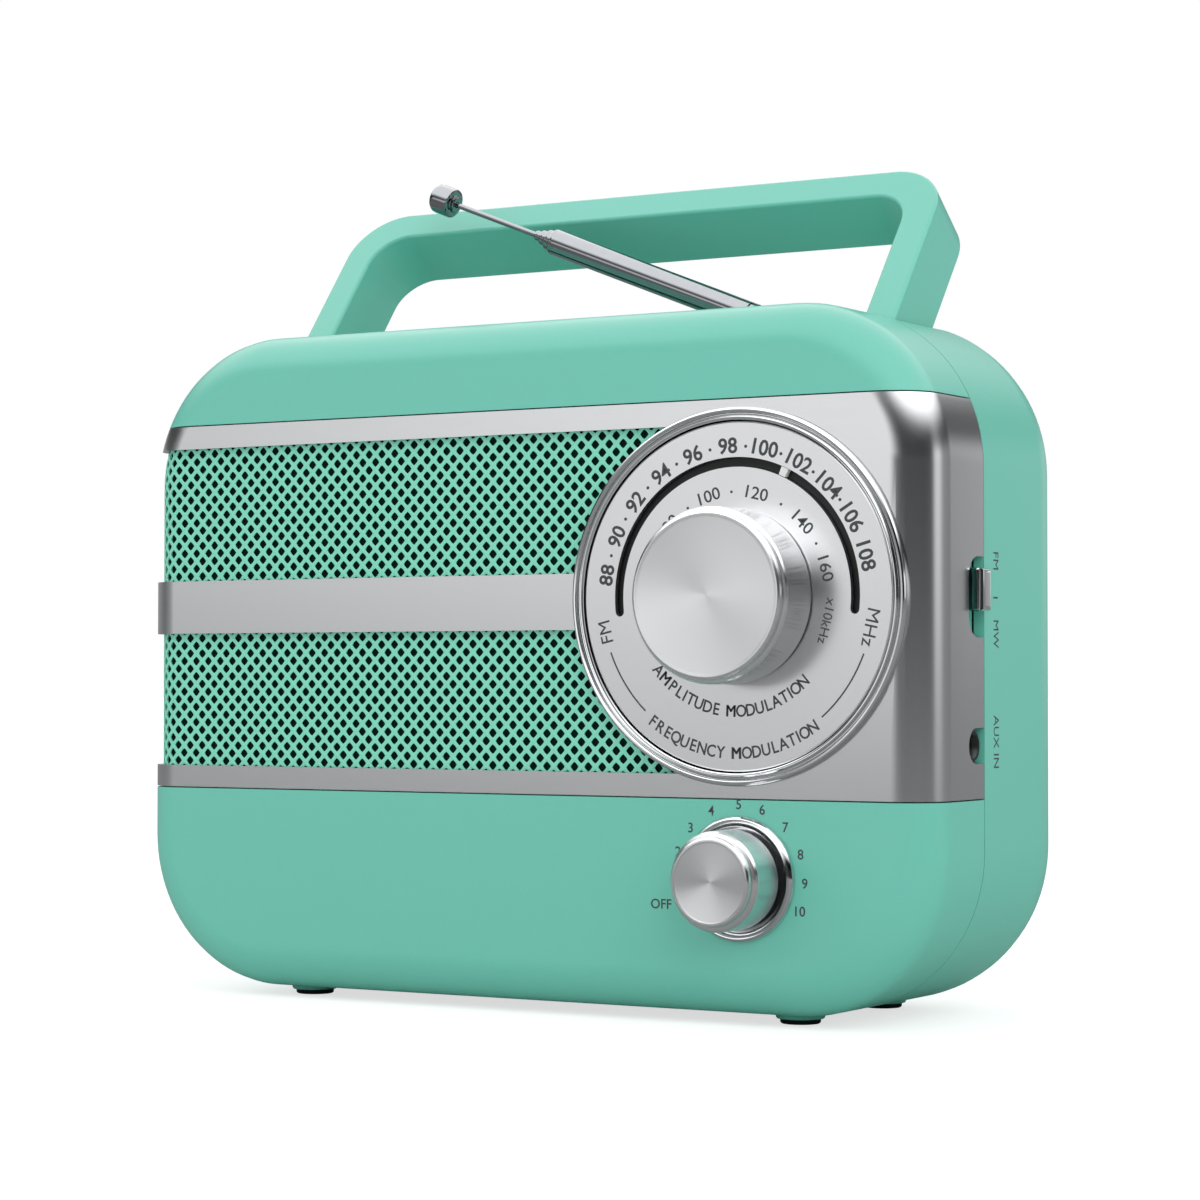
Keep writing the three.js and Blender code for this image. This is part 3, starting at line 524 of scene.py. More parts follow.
def meshCell():  # a diamond of wire round its hole, facing the front
    deselectAll()
    half = mesh["pitch"] / 2 * mm
    bpy.ops.mesh.primitive_circle_add(vertices=4, radius=half, rotation=(math.pi / 2, 0, 0))
    piece = newPiece("cell")
    edit(piece)
    bpy.ops.mesh.select_all(action="SELECT")
    bpy.ops.transform.resize(value=(1, 1, 2 * mesh["row"] / mesh["pitch"]), center_override=(0, 0, 0))
    bpy.ops.mesh.subdivide(number_cuts=2)
    bpy.ops.mesh.extrude_region_move(TRANSFORM_OT_translate={"value": (0, 0, 0)})
    share = mesh["hole"]
    bpy.ops.transform.resize(value=(share, 1, share), center_override=(0, 0, 0))
    bpy.ops.object.vertex_group_add()
    bpy.ops.object.vertex_group_assign()  # the rim of the hole, drawn in a little further on
    inner = share * half
    onAxis = lambda vert: min(abs(vert.co.x), abs(vert.co.z)) < same and vert.co.length < 1.1 * inner
    pick(piece, "VERT", onAxis)
    corner = mesh["corner"]
    bpy.ops.transform.resize(value=(corner, 1, corner), center_override=(0, 0, 0))
    deselectAll()
    return piece


# The line that the mesh follows at mid height: back along the left side, round the edge, along the front.
def meshPath():
    inset = mesh["inset"]
    radius = caseShape["frontFillet"] - inset
    left = caseLow.x / mm + inset
    points = [(left, fasciaShape["windowBack"] + 1.5)]
    for step in range(33):
        angle = math.pi - math.pi / 2 * step / 32
        points.append((left + radius + radius * math.cos(angle), inset + radius - radius * math.sin(angle)))
    points.append((100, inset))
    line = bpy.data.curves.new("path", "CURVE")
    line.dimensions = "2D"
    spline = line.splines.new("POLY")
    spline.points.add(len(points) - 1)
    for point, (x, y) in zip(spline.points, points):
        point.co = (*at(x, y, 0).xy, 0, 1)
    path = bpy.data.objects.new("path", line)
    bpy.context.scene.collection.objects.link(path)
    return path


def grille(name, low, high):
    sheet = meshCell()
    middle = at(0, 0, (low + high) / 2).z
    pair = copyOf(sheet, "cell", (mesh["pitch"] / 2 * mm, 0, mesh["row"] * mm))
    sheet = joined("cell", [sheet, pair])
    count = math.ceil(mesh["length"] / mesh["pitch"])
    rowsUp = mesh["rows"] // 2
    for axis, step, repeats in ((0, mesh["pitch"], count), (2, 2 * mesh["row"], rowsUp + 1)):
        offset = [0, 0, 0]
        offset[axis] = step * mm
        ways = {"use_relative_offset": False, "use_constant_offset": True, "use_merge_vertices": True}
        sizes = {"constant_offset_displace": offset, "merge_threshold": meetsWithin}
        applyModifier(sheet, "ARRAY", {"count": repeats, **ways, **sizes})
    sheet.location = (0, 0, middle - rowsUp * mesh["row"] * mm)
    settle(sheet)
    edit(sheet)
    bpy.ops.mesh.select_all(action="SELECT")
    bpy.ops.mesh.remove_doubles(threshold=meetsWithin)
    bpy.ops.mesh.normals_make_consistent(inside=False)
    edge = mesh["overlap"]
    for height, side in ((at(0, 0, low - edge).z, "clear_inner"), (at(0, 0, high + edge).z, "clear_outer")):
        bpy.ops.mesh.select_all(action="SELECT")
        bpy.ops.mesh.bisect(plane_co=(0, 0, height), plane_no=(0, 0, 1), **{side: True})
    deselectAll()
    if sheet.data.polygons[0].normal.y > 0:
        edit(sheet)
        bpy.ops.mesh.select_all(action="SELECT")
        bpy.ops.mesh.flip_normals()
        deselectAll()
    path = meshPath()
    applyModifier(sheet, "CURVE", {"object": path, "deform_axis": "POS_X"})
    remove(path)
    form = caseBody("form", mesh["inset"])
    applyModifier(sheet, "SHRINKWRAP", {"target": form, "wrap_method": "NEAREST_SURFACEPOINT"})
    remove(form)
    rim = {"direction": "NORMAL", "strength": -mesh["sink"] * mm, "mid_level": 0}
    applyModifier(sheet, "DISPLACE", {**rim, "vertex_group": sheet.vertex_groups[0].name})
    return sheet


for window, (low, high) in fasciaShape["windows"].items():
    sheet = grille("grille", low, high)
    applyModifier(sheet, "SOLIDIFY", {"thickness": mesh["thickness"] * mm, "offset": -1})
    combine(sheet, dialBarrel("cutter", 41.4, -50, 50))
    sheet.name = "mesh_grille_" + window
    fit(sheet, "case", coatedMesh, ["grille_" + window], 50)
print("grilles")

# A dark sheet over the front shell's face behind both windows: painted shade, seen through the mesh holes.
shadeSheetShape = {"outside": 2.45, "inside": 2.8, "overlap": 4, "pastWindow": 2}
shadeSheet = combine(caseBody("painted_shade_sheet", shadeSheetShape["outside"]), caseBody("cutter", shadeSheetShape["inside"]))
shadeSheetLow = fasciaShape["windows"]["lower"][0] - shadeSheetShape["overlap"]
shadeSheetHigh = fasciaShape["windows"]["upper"][1] + shadeSheetShape["overlap"]
combine(shadeSheet, band("cutter", shadeSheetLow, shadeSheetHigh), "INTERSECT")
shadeSheetBack = fasciaShape["windowBack"] + shadeSheetShape["pastWindow"]
combine(shadeSheet, block("cutter", at(-wide, -wide, -wide), at(dialX, shadeSheetBack, wide)), "INTERSECT")
fit(shadeSheet, "case", paintedShadeSheet)

# The dial: a plate with an arc slot, and a carrier behind it that shows its mark through the slot.

dialFoot = Vector((dialCentre.x, front, dialCentre.z))
plate = turned(
    "dial_face",
    [(3.4, 0.4), (3.4, -0.8), (38.9, -0.8), (39.2, -0.6), (39.2, 0.4), (3.4, 0.4)],
    dialFoot,
    back,
    160,
)


# A curved bar round the dial's centre: radii and depths in mm, angles from the right-hand side.
def arcBar(name, inner, outer, start, end, y0, y1, roundEnds=True):
    middle = (inner + outer) / 2
    half = (outer - inner) / 2
    deselectAll()
    bpy.ops.mesh.primitive_plane_add(size=1, location=(middle * mm, (y0 + y1) / 2 * mm, 0))
    bpy.context.active_object.scale = (2 * half * mm, (y1 - y0) * mm, 1)
    piece = newPiece(name)
    piece.matrix_world = Matrix.Rotation(-math.radians(start), 4, "Y")
    settle(piece)
    edit(piece)
    bpy.ops.mesh.select_all(action="SELECT")
    turn = math.radians(end - start)
    steps = max(4, round((end - start) / 2))
    bpy.ops.mesh.spin(steps=steps, angle=turn, center=(0, 0, 0), axis=(0, 1, 0))
    bpy.ops.mesh.select_all(action="SELECT")
    bpy.ops.mesh.fill_holes(sides=4)
    bpy.ops.mesh.normals_make_consistent(inside=False)
    deselectAll()
    if roundEnds:
        for angle in (math.radians(start), math.radians(end)):
            tip = Vector((middle * math.cos(angle), 0, middle * math.sin(angle))) * mm
            combine(piece, barrel("tip", half, tip + back * y0 * mm, tip + back * y1 * mm, 24), "UNION")
    piece.location = dialFoot
    settle(piece)
    return piece


combine(plate, arcBar("cutter", 29, 31.2, -6, 186, -3, 3))
fit(plate, "case", dialSatin, ["dial_plate"])

bezelOutside = turned(
    "dial_ring",
    [
        (40.6, 3), (40.6, -0.7), (40.95, -0.75), (41.15, -1.25), (41.5, -1.55), (41.85, -1.6), (42.2, -1.45),
        (42.43, -1.1), (42.5, -0.6), (42.5, 3), (40.6, 3),
    ],
    dialFoot,
    back,
    160,
)
combine(bezelOutside, caseBody("cutter", -0.05))
collar = turned(
    "cutter",
    [
        (39.5, 2.3), (39.5, -1.0), (39.62, -1.3), (39.9, -1.45), (40.2, -1.45), (40.45, -1.25), (40.55, -0.7),
        (40.8, -0.65), (40.8, 2.3), (39.5, 2.3),
    ],
    dialFoot,
    back,
    160,
)
combine(bezelOutside, collar, "UNION")
fit(bezelOutside, "case", chromePlate, ["dial_bezel"])

disc = turned(
    "pointer_carrier",
    [(3.3, 1.7), (3.3, 0.9), (33.7, 0.9), (34, 1.1), (34, 1.7), (3.3, 1.7)],
    dialFoot,
    back,
    96,
)
fit(disc, "tuning", blackPlastic, ["pointer_disc"])
mark = {"angle": 66, "half": 1.7}  # degrees
start, end = mark["angle"] - mark["half"], mark["angle"] + mark["half"]
pointer = arcBar("pointer_mark", 29.1, 31.1, start, end, -0.72, 0.8, False)
softenEdges(pointer, 0.1)
fit(pointer, "tuning", pointerPaint, ["dial_pointer"])
print("dial")

# Knobs: spun faces with a round rim, a thin groove and a chamfered body.

knobSmoothing = 24  # degrees; edges sharper than this stay crisp

tuningKnob = turned(
    "tuning_control",
    [
        (0, -14.1), (4, -14.15), (10, -14.3), (17.1, -14.5), (17.6, -14.66), (18.1, -14.66), (18.6, -14.4),
        (18.8, -13.9), (18.8, -13.6), (18.35, -13.5), (18.35, -13.2), (18.8, -13.15), (19.3, -12.95),
        (19.6, -12.55), (19.7, -12), (19.7, -1.9), (19.5, -1.45), (19.1, -1.3), (3.4, -1.3), (3.4, -10.4),
        (0, -10.4),
    ],
    dialFoot,
    back,
    128,
)
spunFace = spunAluminium("spunAluminiumTuning", dialFoot)
fit(tuningKnob, "tuning", spunFace, ["tuning_knob"], knobSmoothing)

volumeFoot = Vector((volumeCentre.x, front, volumeCentre.z))
volumeKnob = turned(
    "volume_control",
    [
        (0, -13.25), (3, -13.3), (8.6, -13.5), (9.05, -13.66), (9.45, -13.62), (9.85, -13.3), (10, -12.85),
        (10, -12.6), (9.6, -12.5), (9.6, -12.2), (10.1, -12.15), (10.75, -11.85), (11.1, -11.35),
        (11.2, -10.8), (11.2, -2.6), (11.05, -2.15), (10.7, -2), (3.4, -2), (3.4, -9.4), (0, -9.4),
    ],
    volumeFoot,
    back,
    96,
)
spunFace = spunAluminium("spunAluminiumVolume", volumeFoot)
fit(volumeKnob, "volume", spunFace, ["volume_knob"], knobSmoothing)
volumeRing = turned(
    "volume_ring",
    [
        (3.4, -0.05), (3.4, -0.5), (11.7, -0.5), (12.1, -0.7), (12.4, -1.2), (12.85, -1.45), (13.4, -1.45),
        (13.85, -1.15), (14.15, -0.7), (14.2, -0.05), (3.4, -0.05),
    ],
    volumeFoot,
    back,
    96,
)
fit(volumeRing, "case", chromePlate, ["volume_bezel"])
print("knobs")

# Lettering: generic scale marks only.

facingFront = Matrix.Rotation(math.pi / 2, 4, "X")
inkDepth = 0.02
dialInk = {"depth": -0.82}
capHeight = 0.73  # of the letters' nominal size


def letters(text, place, turn, height, width=1, weight=0.02):
    deselectAll()
    bpy.ops.object.text_add()
    piece = bpy.context.active_object
    piece.data.body = text
    piece.data.align_x = "CENTER"
    piece.data.align_y = "CENTER"
    size = height / capHeight * mm
    piece.data.offset = weight
    piece.data.extrude = inkDepth * mm / size
    piece.data.resolution_u = 3
    bpy.ops.object.convert(target="MESH")
    piece = bpy.context.active_object
    piece.matrix_world = Matrix.Translation(place) @ turn @ Matrix.Diagonal((width * size, size, size, 1))
    settle(piece)
    return piece


def inkPlace(middle, radius, angle, depth):
    direction = math.radians(angle)
    return middle + Vector((radius * math.cos(direction), depth, radius * math.sin(direction))) * mm


def onCircle(text, radius, angle, height, weight=0.02, inward=False, width=1):
    place = inkPlace(dialFoot, radius, angle, dialInk["depth"])
    lean = math.radians(angle) + (math.pi / 2 if inward else -math.pi / 2)
    turn = Matrix.Rotation(-lean, 4, "Y") @ facingFront
    return letters(text, place, turn, height, width, weight)


letterWidths = {"I": 0.5, " ": 0.55, "M": 1.2, "L": 0.85, "F": 0.88, "E": 0.92, "T": 0.92}


def roundCircle(text, radius, start, end, height):
    widths = [letterWidths.get(letter, 1) for letter in text]
    step = (end - start) / (sum(widths) - (widths[0] + widths[-1]) / 2)
    angle = start
    made = []
    for index, letter in enumerate(text):
        if index:
            angle += step * (widths[index - 1] + widths[index]) / 2
        # This font's M closes up when it is thickened, so it is laid down twice, a little apart.
        if letter == "M":
            made += [onCircle(letter, radius, angle + shift, height, 0, True, 0.9) for shift in (-0.22, 0.22)]
        elif letter != " ":
            made.append(onCircle(letter, radius, angle, height, 0.014, True, 0.9))
    return made


def dot(radius, angle, size):
    place = inkPlace(dialFoot, radius, angle, dialInk["depth"])
    return barrel("dot", size / 2, place - back * inkDepth * mm, place + back * inkDepth * mm, 12)


def arcLine(radius, start, end, width):
    low, high = dialInk["depth"] - inkDepth, dialInk["depth"] + inkDepth
    return arcBar("line", radius - width / 2, radius + width / 2, start, end, low, high, False)


fmScale = {"radius": 33.6, "first": 88, "count": 11, "start": 171, "step": 15.6, "height": 3.6}
ink = []
for index in range(fmScale["count"]):
    angle = fmScale["start"] - index * fmScale["step"]
    ink.append(onCircle(str(fmScale["first"] + 2 * index), fmScale["radius"], angle, fmScale["height"]))
    if index < fmScale["count"] - 2:
        ink.append(dot(fmScale["radius"], angle - fmScale["step"] / 2, 0.75))
ink.append(onCircle("FM", 34.4, 193, 3.3, 0))
ink.append(onCircle("MHz", 34.4, -12, 3.3, 0))
amScale = {"radius": 23.4, "height": 2.9, "dots": (148, 121, 92, 60, 29)}
amMarks = {"53": 197, "55": 190, "60": 181, "70": 160, "80": 135, "100": 107, "120": 77, "140": 44, "160": 15}
for text, angle in amMarks.items():
    ink.append(onCircle(text, amScale["radius"], angle, amScale["height"], 0.008, False, 1.1))
for angle in amScale["dots"]:
    ink.append(dot(amScale["radius"], angle, 0.65))
ink.append(onCircle("x10kHz", 23.6, -14, 2.4, 0))
ink += roundCircle("AMPLITUDE MODULATION", 25.8, 220, 312, 2.8)
ink += roundCircle("FREQUENCY MODULATION", 35.2, 233, 304, 2.8)
for start, end in ((201, 228), (309, 338)):
    ink.append(arcLine(34.6, start, end, 0.35))
fit(joined("dial_lettering", ink), "case", printedInk)

volumeMarks = {
    "OFF": 197.5, "1": 182, "2": 160, "3": 138, "4": 115, "5": 90,
    "6": 69, "7": 45, "8": 20.5, "9": -2, "10": -24,
}
ink = []
for text, angle in volumeMarks.items():
    radius = 21 if text == "OFF" else 16.6
    place = inkPlace(volumeFoot, radius, angle, -inkDepth)
    ink.append(letters(text, place, facingFront, 2.3, 1, 0.008))
fit(joined("volume_lettering", ink), "case", printedInk)

# Down the right-hand side: turned a quarter, so the letters read downward.
facingRight = Matrix.Rotation(math.pi / 2, 4, "Z") @ facingFront
readingDown = facingRight @ Matrix.Rotation(-math.pi / 2, 4, "Z")
sideInk = {"FM": 102.2, "MW": 85.8, "AUX IN": 61.4}
sideFace = caseHigh.x / mm
ink = []
for text, height in sideInk.items():
    ink.append(letters(text, at(sideFace + inkDepth / 2, 34, height), readingDown, 2.9, 0.9, 0))
ink.append(block("tick", at(sideFace - inkDepth, 32.8, 93.7), at(sideFace + inkDepth, 35.2, 94.1)))
fit(joined("side_lettering", ink), "case", printedInk)
print("lettering")

# Band switch and jack.

nub = block("switch_slider", at(106.6, 21.8, 90.7), at(sideFace + 2.5, 26.6, 100.3))
edit(nub)
pick(nub, "EDGE", lambda edge: all(vert.co.x > (sideFace + 1) * mm for vert in edge.verts))
bpy.ops.mesh.bevel(offset=1.1 * mm, segments=5, affect="EDGES")
pick(nub, "EDGE", lambda edge: abs(edge.verts[0].co.x - edge.verts[1].co.x) > 1.5 * mm)
bpy.ops.mesh.bevel(offset=0.5 * mm, segments=3, affect="EDGES")
deselectAll()
stem = block("stem", at(99.9, 22.9, 93.9), at(107, 25.5, 97.1))
combine(nub, stem, "UNION")
fit(nub, "band_switch", chromePlate, ["band_switch_nub"])

jackFoot = at(106.9, 23.5, 60.7)
jack = turned(
    "aux_socket",
    [
        (1.8, -9), (3.65, -9), (3.65, 1.2), (3.4, 1.5), (2.7, 1.5), (2.4, 1.2), (1.9, 0.2), (1.8, -0.5),
        (1.8, -9),
    ],
    jackFoot,
    Vector((1, 0, 0)),
    48,
)
fit(jack, "case", blackPlastic, ["aux_jack"])
print("side controls")

# Rear shell, with room for the legs, the antenna and the battery door.

handleShape = {
    "reach": 85,
    "thickness": 8.3,
    "depth": 16.9,
    "length": 51.4,
    "outerRadius": 14.5,
    "innerRadius": 9.5,
    "lean": 38,
    "fold": 40,
    "slotSide": 0.5,
}


def legSweep(side, spread):
    x0 = handleShape["reach"] - handleShape["thickness"] - spread
    x1 = handleShape["reach"] + spread
    low, high = sorted((side * x0, side * x1))
    radius = handleShape["depth"] / 2 + spread
    start = Vector((low * mm, handlePivot.y, handlePivot.z))
    end = Vector((high * mm, handlePivot.y, handlePivot.z))
    sweep = barrel("cutter", radius, start, end, 64)
    rest, fold = handleShape["lean"], handleShape["fold"]
    for lean in (rest, (2 * rest + fold) / 2, rest + fold):
        leg = block("cutter", Vector((low, -radius, 0)) * mm, Vector((high, radius, 90)) * mm)
        leg.matrix_world = Matrix.Translation((0, handlePivot.y, handlePivot.z)) @ Matrix.Rotation(
            -math.radians(lean), 4, "X"
        )
        settle(leg)
        combine(sweep, leg, "UNION")
    return sweep


wellTop = caseHigh.z / mm - floorGap
well = {"radius": 8, "depth": 10, "grooveLength": 112, "grooveRadius": 3.9}
mastFoot = Vector((mastPivot.x / mm, (mastPivot.y - front) / mm, mastPivot.z / mm - floorGap))
screwPlaces = {
    "lower_left": (-78, 27),
    "lower_right": (78, 27),
    "upper_left": (-68, 131),
    "upper_right": (68, 131),
}
screwHole = {"head": 3.8, "post": 5.4, "seat": 37.7}
door = {"x": 55, "z": 28.7, "height": 70, "corner": 3, "thickness": 2.2, "gap": 0.3}


def wellCutter(radius, depth):
    foot = at(mastFoot.x, mastFoot.y, wellTop - depth)
    return barrel("cutter", radius, foot, at(mastFoot.x, mastFoot.y, wellTop + 30), 48)


def grooveCutter(radius):
    start = at(mastFoot.x - well["grooveLength"], mastFoot.y, mastFoot.z)
    return barrel("cutter", radius, start, at(mastFoot.x, mastFoot.y, mastFoot.z), 32)


def doorBlock(name, spread, y0, y1):
    x, z = door["x"] + spread, door["z"] + spread
    piece = block(name, at(-x, y0, door["height"] - z), at(x, y1, door["height"] + z))
    edit(piece)
    pick(piece, "EDGE", lambda edge: abs(edge.verts[0].co.y - edge.verts[1].co.y) > (y1 - y0) * mm / 2)
    bpy.ops.mesh.bevel(offset=(door["corner"] + spread) * mm, segments=8, affect="EDGES")
    deselectAll()
    return piece


rearDepth = (caseHigh.y - front) / mm
hollow = caseBody("cutter", caseShape["rearWall"])
for x, z in screwPlaces.values():
    combine(hollow, barrel("cutter", screwHole["post"], at(x, 0, z), at(x, 90, z), 32))
for side in (-1, 1):
    combine(hollow, legSweep(side, handleShape["slotSide"] + 1.6))
combine(hollow, wellCutter(well["radius"] + 2.6, well["depth"] + 2.6))
combine(hollow, grooveCutter(well["grooveRadius"] + 2.6))

rearShell = combine(caseBody("rear_case", 0), behind("cutter", rearStart), "INTERSECT")
combine(rearShell, hollow)
for side in (-1, 1):
    combine(rearShell, legSweep(side, handleShape["slotSide"]))
combine(rearShell, wellCutter(well["radius"], well["depth"]))
combine(rearShell, grooveCutter(well["grooveRadius"]))
combine(rearShell, doorBlock("cutter", door["gap"], rearDepth - 10, rearDepth + 10))
for x, z in screwPlaces.values():
    combine(rearShell, barrel("cutter", screwHole["head"], at(x, screwHole["seat"], z), at(x, 90, z), 32))
    combine(rearShell, barrel("cutter", 1.8, at(x, 20, z), at(x, 60, z), 24))
softenEdges(rearShell, 0.3)
fit(rearShell, "case", mintAbs, ["rear_shell"])
print("rear of the case")

# Battery door with a ribbed thumb grip.

batteryDoor = doorBlock("battery_cover_panel", 0, rearDepth - door["thickness"], rearDepth)
for index in range(5):
    z = door["height"] + door["z"] - 6 - index * 2.4
    rib = block("cutter", at(-9, rearDepth - 0.6, z - 0.6), at(9, rearDepth + 1, z + 0.6))
    combine(batteryDoor, rib)
softenEdges(batteryDoor, 0.3)
fit(batteryDoor, "battery_cover", mintAbs, ["battery_door"])

# Handle: a U-shaped strap with rounded feet, leaned back on its pivots.



def isTopCorner(edge):
    return abs(edge.verts[0].co.y - edge.verts[1].co.y) > 10 * mm and edge.verts[0].co.z > 0


def isFootEdge(edge):
    return abs(edge.verts[0].co.x - edge.verts[1].co.x) > 100 * mm and edge.verts[0].co.z < 0


reach = handleShape["reach"]
depth = handleShape["depth"]
outerTop = handleShape["length"]
low = Vector((-reach, -depth / 2, -depth / 2)) * mm
handle = block("carry_handle", low, Vector((reach, depth / 2, outerTop)) * mm)
edit(handle)
pick(handle, "EDGE", isTopCorner)
bpy.ops.mesh.bevel(offset=handleShape["outerRadius"] * mm, segments=20, affect="EDGES")
pick(handle, "EDGE", isFootEdge)
bpy.ops.mesh.bevel(offset=depth / 2 * mm * 0.998, segments=20, affect="EDGES")
deselectAll()
innerReach = reach - handleShape["thickness"]
innerTop = outerTop - handleShape["thickness"]
gapBlock = block("cutter", Vector((-innerReach, -20, -40)) * mm, Vector((innerReach, 20, innerTop)) * mm)
edit(gapBlock)
pick(gapBlock, "EDGE", isTopCorner)
bpy.ops.mesh.bevel(offset=handleShape["innerRadius"] * mm, segments=16, affect="EDGES")
deselectAll()
combine(handle, gapBlock)
for side in (-1, 1):
    pin = barrel("cutter", 2.3, Vector((side * 70, 0, 0)) * mm, Vector((side * 90, 0, 0)) * mm, 32)
    combine(handle, pin)
softenEdges(handle, 1.3, 4)
handle.matrix_world = Matrix.Translation((0, handlePivot.y, handlePivot.z)) @ Matrix.Rotation(
    -math.radians(handleShape["lean"]), 4, "X"
)
settle(handle)
fit(handle, "handle", mintAbs, ["handle"])
print("handle")

# Telescopic antenna in its swivelling turret.

turret = turned(
    "antenna_turret",
    [(0, -9.7), (6.4, -9.7), (6.6, -9.5), (6.6, -7.0), (6.3, -6.6), (6.0, -6.4), (0, -6.4)],
    mastPivot,
    Vector((0, 0, 1)),
    64,
)
for side in (-1, 1):
    low, high = sorted((side * 2.2, side * 4.1))
    ear = block("ear", mastPivot + Vector((-3, low, -7.4)) * mm, mastPivot + Vector((3, high, 3)) * mm)
    edit(ear)
    top = mastPivot.z + 2.9 * mm
    spansEar = lambda edge: abs(edge.verts[0].co.y - edge.verts[1].co.y) > mm
    pick(ear, "EDGE", lambda edge: spansEar(edge) and all(vert.co.z > top for vert in edge.verts))
    bpy.ops.mesh.bevel(offset=2.98 * mm, segments=10, affect="EDGES")
    deselectAll()
    softenEdges(ear, 0.25)
    combine(turret, ear, "UNION")
fit(turret, "antenna_swivel", antennaShadedChrome, ["antenna_base"])

knuckle = turned(
    "antenna_knuckle_joint",
    [(0, 2.4), (2.1, 2.4), (2.4, 2.7), (2.4, 6.6), (3.3, 7.2), (3.3, 8.6), (3.1, 8.7), (0, 8.7)],
    mastPivot,
    mastDirection,
    48,
)
tongue = barrel("tongue", 2.6, mastPivot - back * 1.9 * mm, mastPivot + back * 1.9 * mm, 40)
combine(knuckle, tongue, "UNION")
web = block("web", Vector((-1.9, -1.9, 0)) * mm, Vector((1.9, 1.9, 3)) * mm)
web.matrix_world = Matrix.Translation(mastPivot) @ mastDirection.to_track_quat("Z", "Y").to_matrix().to_4x4()
settle(web)
combine(knuckle, web, "UNION")
fit(knuckle, "antenna_mast", antennaShadedChrome, ["antenna_knuckle"])

# Each tube's far end is rolled in to a collar that guides the next.
tubes = [
    ("antenna_mast", "antenna_tube_1", 3.3, 2.95, 9, 69),
    ("antenna_stage_2", "antenna_tube_2", 2.6, 2.25, 14, 70.9),
    ("antenna_stage_3", "antenna_tube_3", 1.9, 1.6, 16, 72.8),
    ("antenna_stage_4", "antenna_tube_4", 1.3, 1.0, 18, 74.6),
]
for number, (body, node, outer, bore, start, end) in enumerate(tubes, 1):
    tube = turned(
        "telescope_tube_" + str(number),
        [
            (bore, start), (outer - 0.1, start), (outer, start + 0.1), (outer, end - 1.3),
            (outer - 0.08, end - 1.15), (outer - 0.08, end - 0.95), (outer, end - 0.8), (outer, end - 0.3),
            (outer - 0.12, end - 0.08), (outer - 0.3, end), (bore, end), (bore, start),
        ],
        mastPivot,
        mastDirection,
        48,
    )
    fit(tube, body, antennaShadedChrome, [node])
rod = turned(
    "telescope_rod",
    [(0, 40), (0.6, 40), (0.7, 40.1), (0.7, 103.3), (0.6, 103.4), (0, 103.4)],
    mastPivot,
    mastDirection,
    24,
)
fit(rod, "antenna_top", antennaShadedChrome, ["antenna_rod"])
tip = turned(
    "antenna_cap",
    [
        (0.8, 100.4), (1.9, 100.4), (2.1, 100.55), (2.1, 101.2), (2.3, 101.35), (3.35, 101.4), (3.65, 101.6),
        (3.75, 101.95), (3.75, 105.8), (3.6, 106.6), (3.15, 107.15), (2.4, 107.36), (0, 107.4),
    ],
    mastPivot,
    mastDirection,
    64,
)
fit(tip, "antenna_top", antennaShadedChrome, ["antenna_tip"])
print("antenna")

# Case screws with crossed slots.

for name, (x, z) in screwPlaces.items():
    seat = screwHole["seat"] + 0.3
    screw = turned(
        "screw_" + name,
        [
            (0, -22.7), (1.2, -22.5), (1.5, -21.5), (1.5, 0), (3.2, 0), (3.2, 0.9), (2.9, 1.6), (2.1, 2.05),
            (0, 2.2),
        ],
        at(x, seat, z),
        back,
        40,
    )
    for turn in (0, math.pi / 2):
        slot = block("cutter", Vector((-1.9, 0.9, -0.4)) * mm, Vector((1.9, 4, 0.4)) * mm)
        slot.matrix_world = Matrix.Translation(at(x, seat, z)) @ Matrix.Rotation(turn, 4, "Y")
        settle(slot)
        combine(screw, slot)
    fit(screw, "case", zincSteel, ["case_screw_" + name])

# Feet: rubber pads held in low collars under the case.

for name in ("front_left", "front_right", "rear_left", "rear_right"):
    low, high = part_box("foot_" + name)
    foot = Vector(((low.x + high.x) / 2, (low.y + high.y) / 2, 0))
    pad = turned(
        "pad_" + name,
        [(0, 0.15), (3.2, 0.1), (3.4, 0), (4.3, 0), (4.6, 0.25), (4.65, 0.6), (4.65, 2.3), (0, 2.3)],
        foot,
        Vector((0, 0, 1)),
        48,
    )
    fit(pad, "case", footRubber, ["foot_" + name])
    collar = turned(
        "foot_collar_" + name,
        [(4.75, 2.6), (4.75, 1.25), (4.95, 1.1), (5.35, 1.15), (5.55, 1.35), (5.85, 2.6), (4.75, 2.6)],
        foot,
        Vector((0, 0, 1)),
        48,
    )
    fit(collar, "case", mintAbs)
print("screws and feet")

# Inner parts that keep their shape.

slotFinishes = {
    "steel": zincSteel,
    "black_plastic": blackPlastic,
    "capacitor_case": paleCase,
    "cone_paper": conePaper,
    "ferrite": sinteredFerrite,
    "copper_wire": copperWire,
    "board": boardMask,
    "cell_sleeve": cellSleeve,
    "chrome": chromePlate,
}
for part in frame["record"]["subparts"]:
    node = frame["nodes"][part["node"]]
    if not node.hide_render:
        node.data.materials.clear()
        node.data.materials.append(slotFinishes[part["material_slot"]])
print("inner parts")

# Floor, light and camera.

studio = {
    "skyForSurfaces": 0.8,
    "floorForSurfaces": "#F2F2F2",
    "floorForReflections": "#969696",
    "floorGlow": 1.5,
    "floorShade": 0.55,
    "panels": 1.6,
    "overhead": 2.2,
}

deselectAll()
bpy.ops.mesh.primitive_circle_add(vertices=64, radius=14, fill_type="NGON")
floor = newPiece("studio_floor")
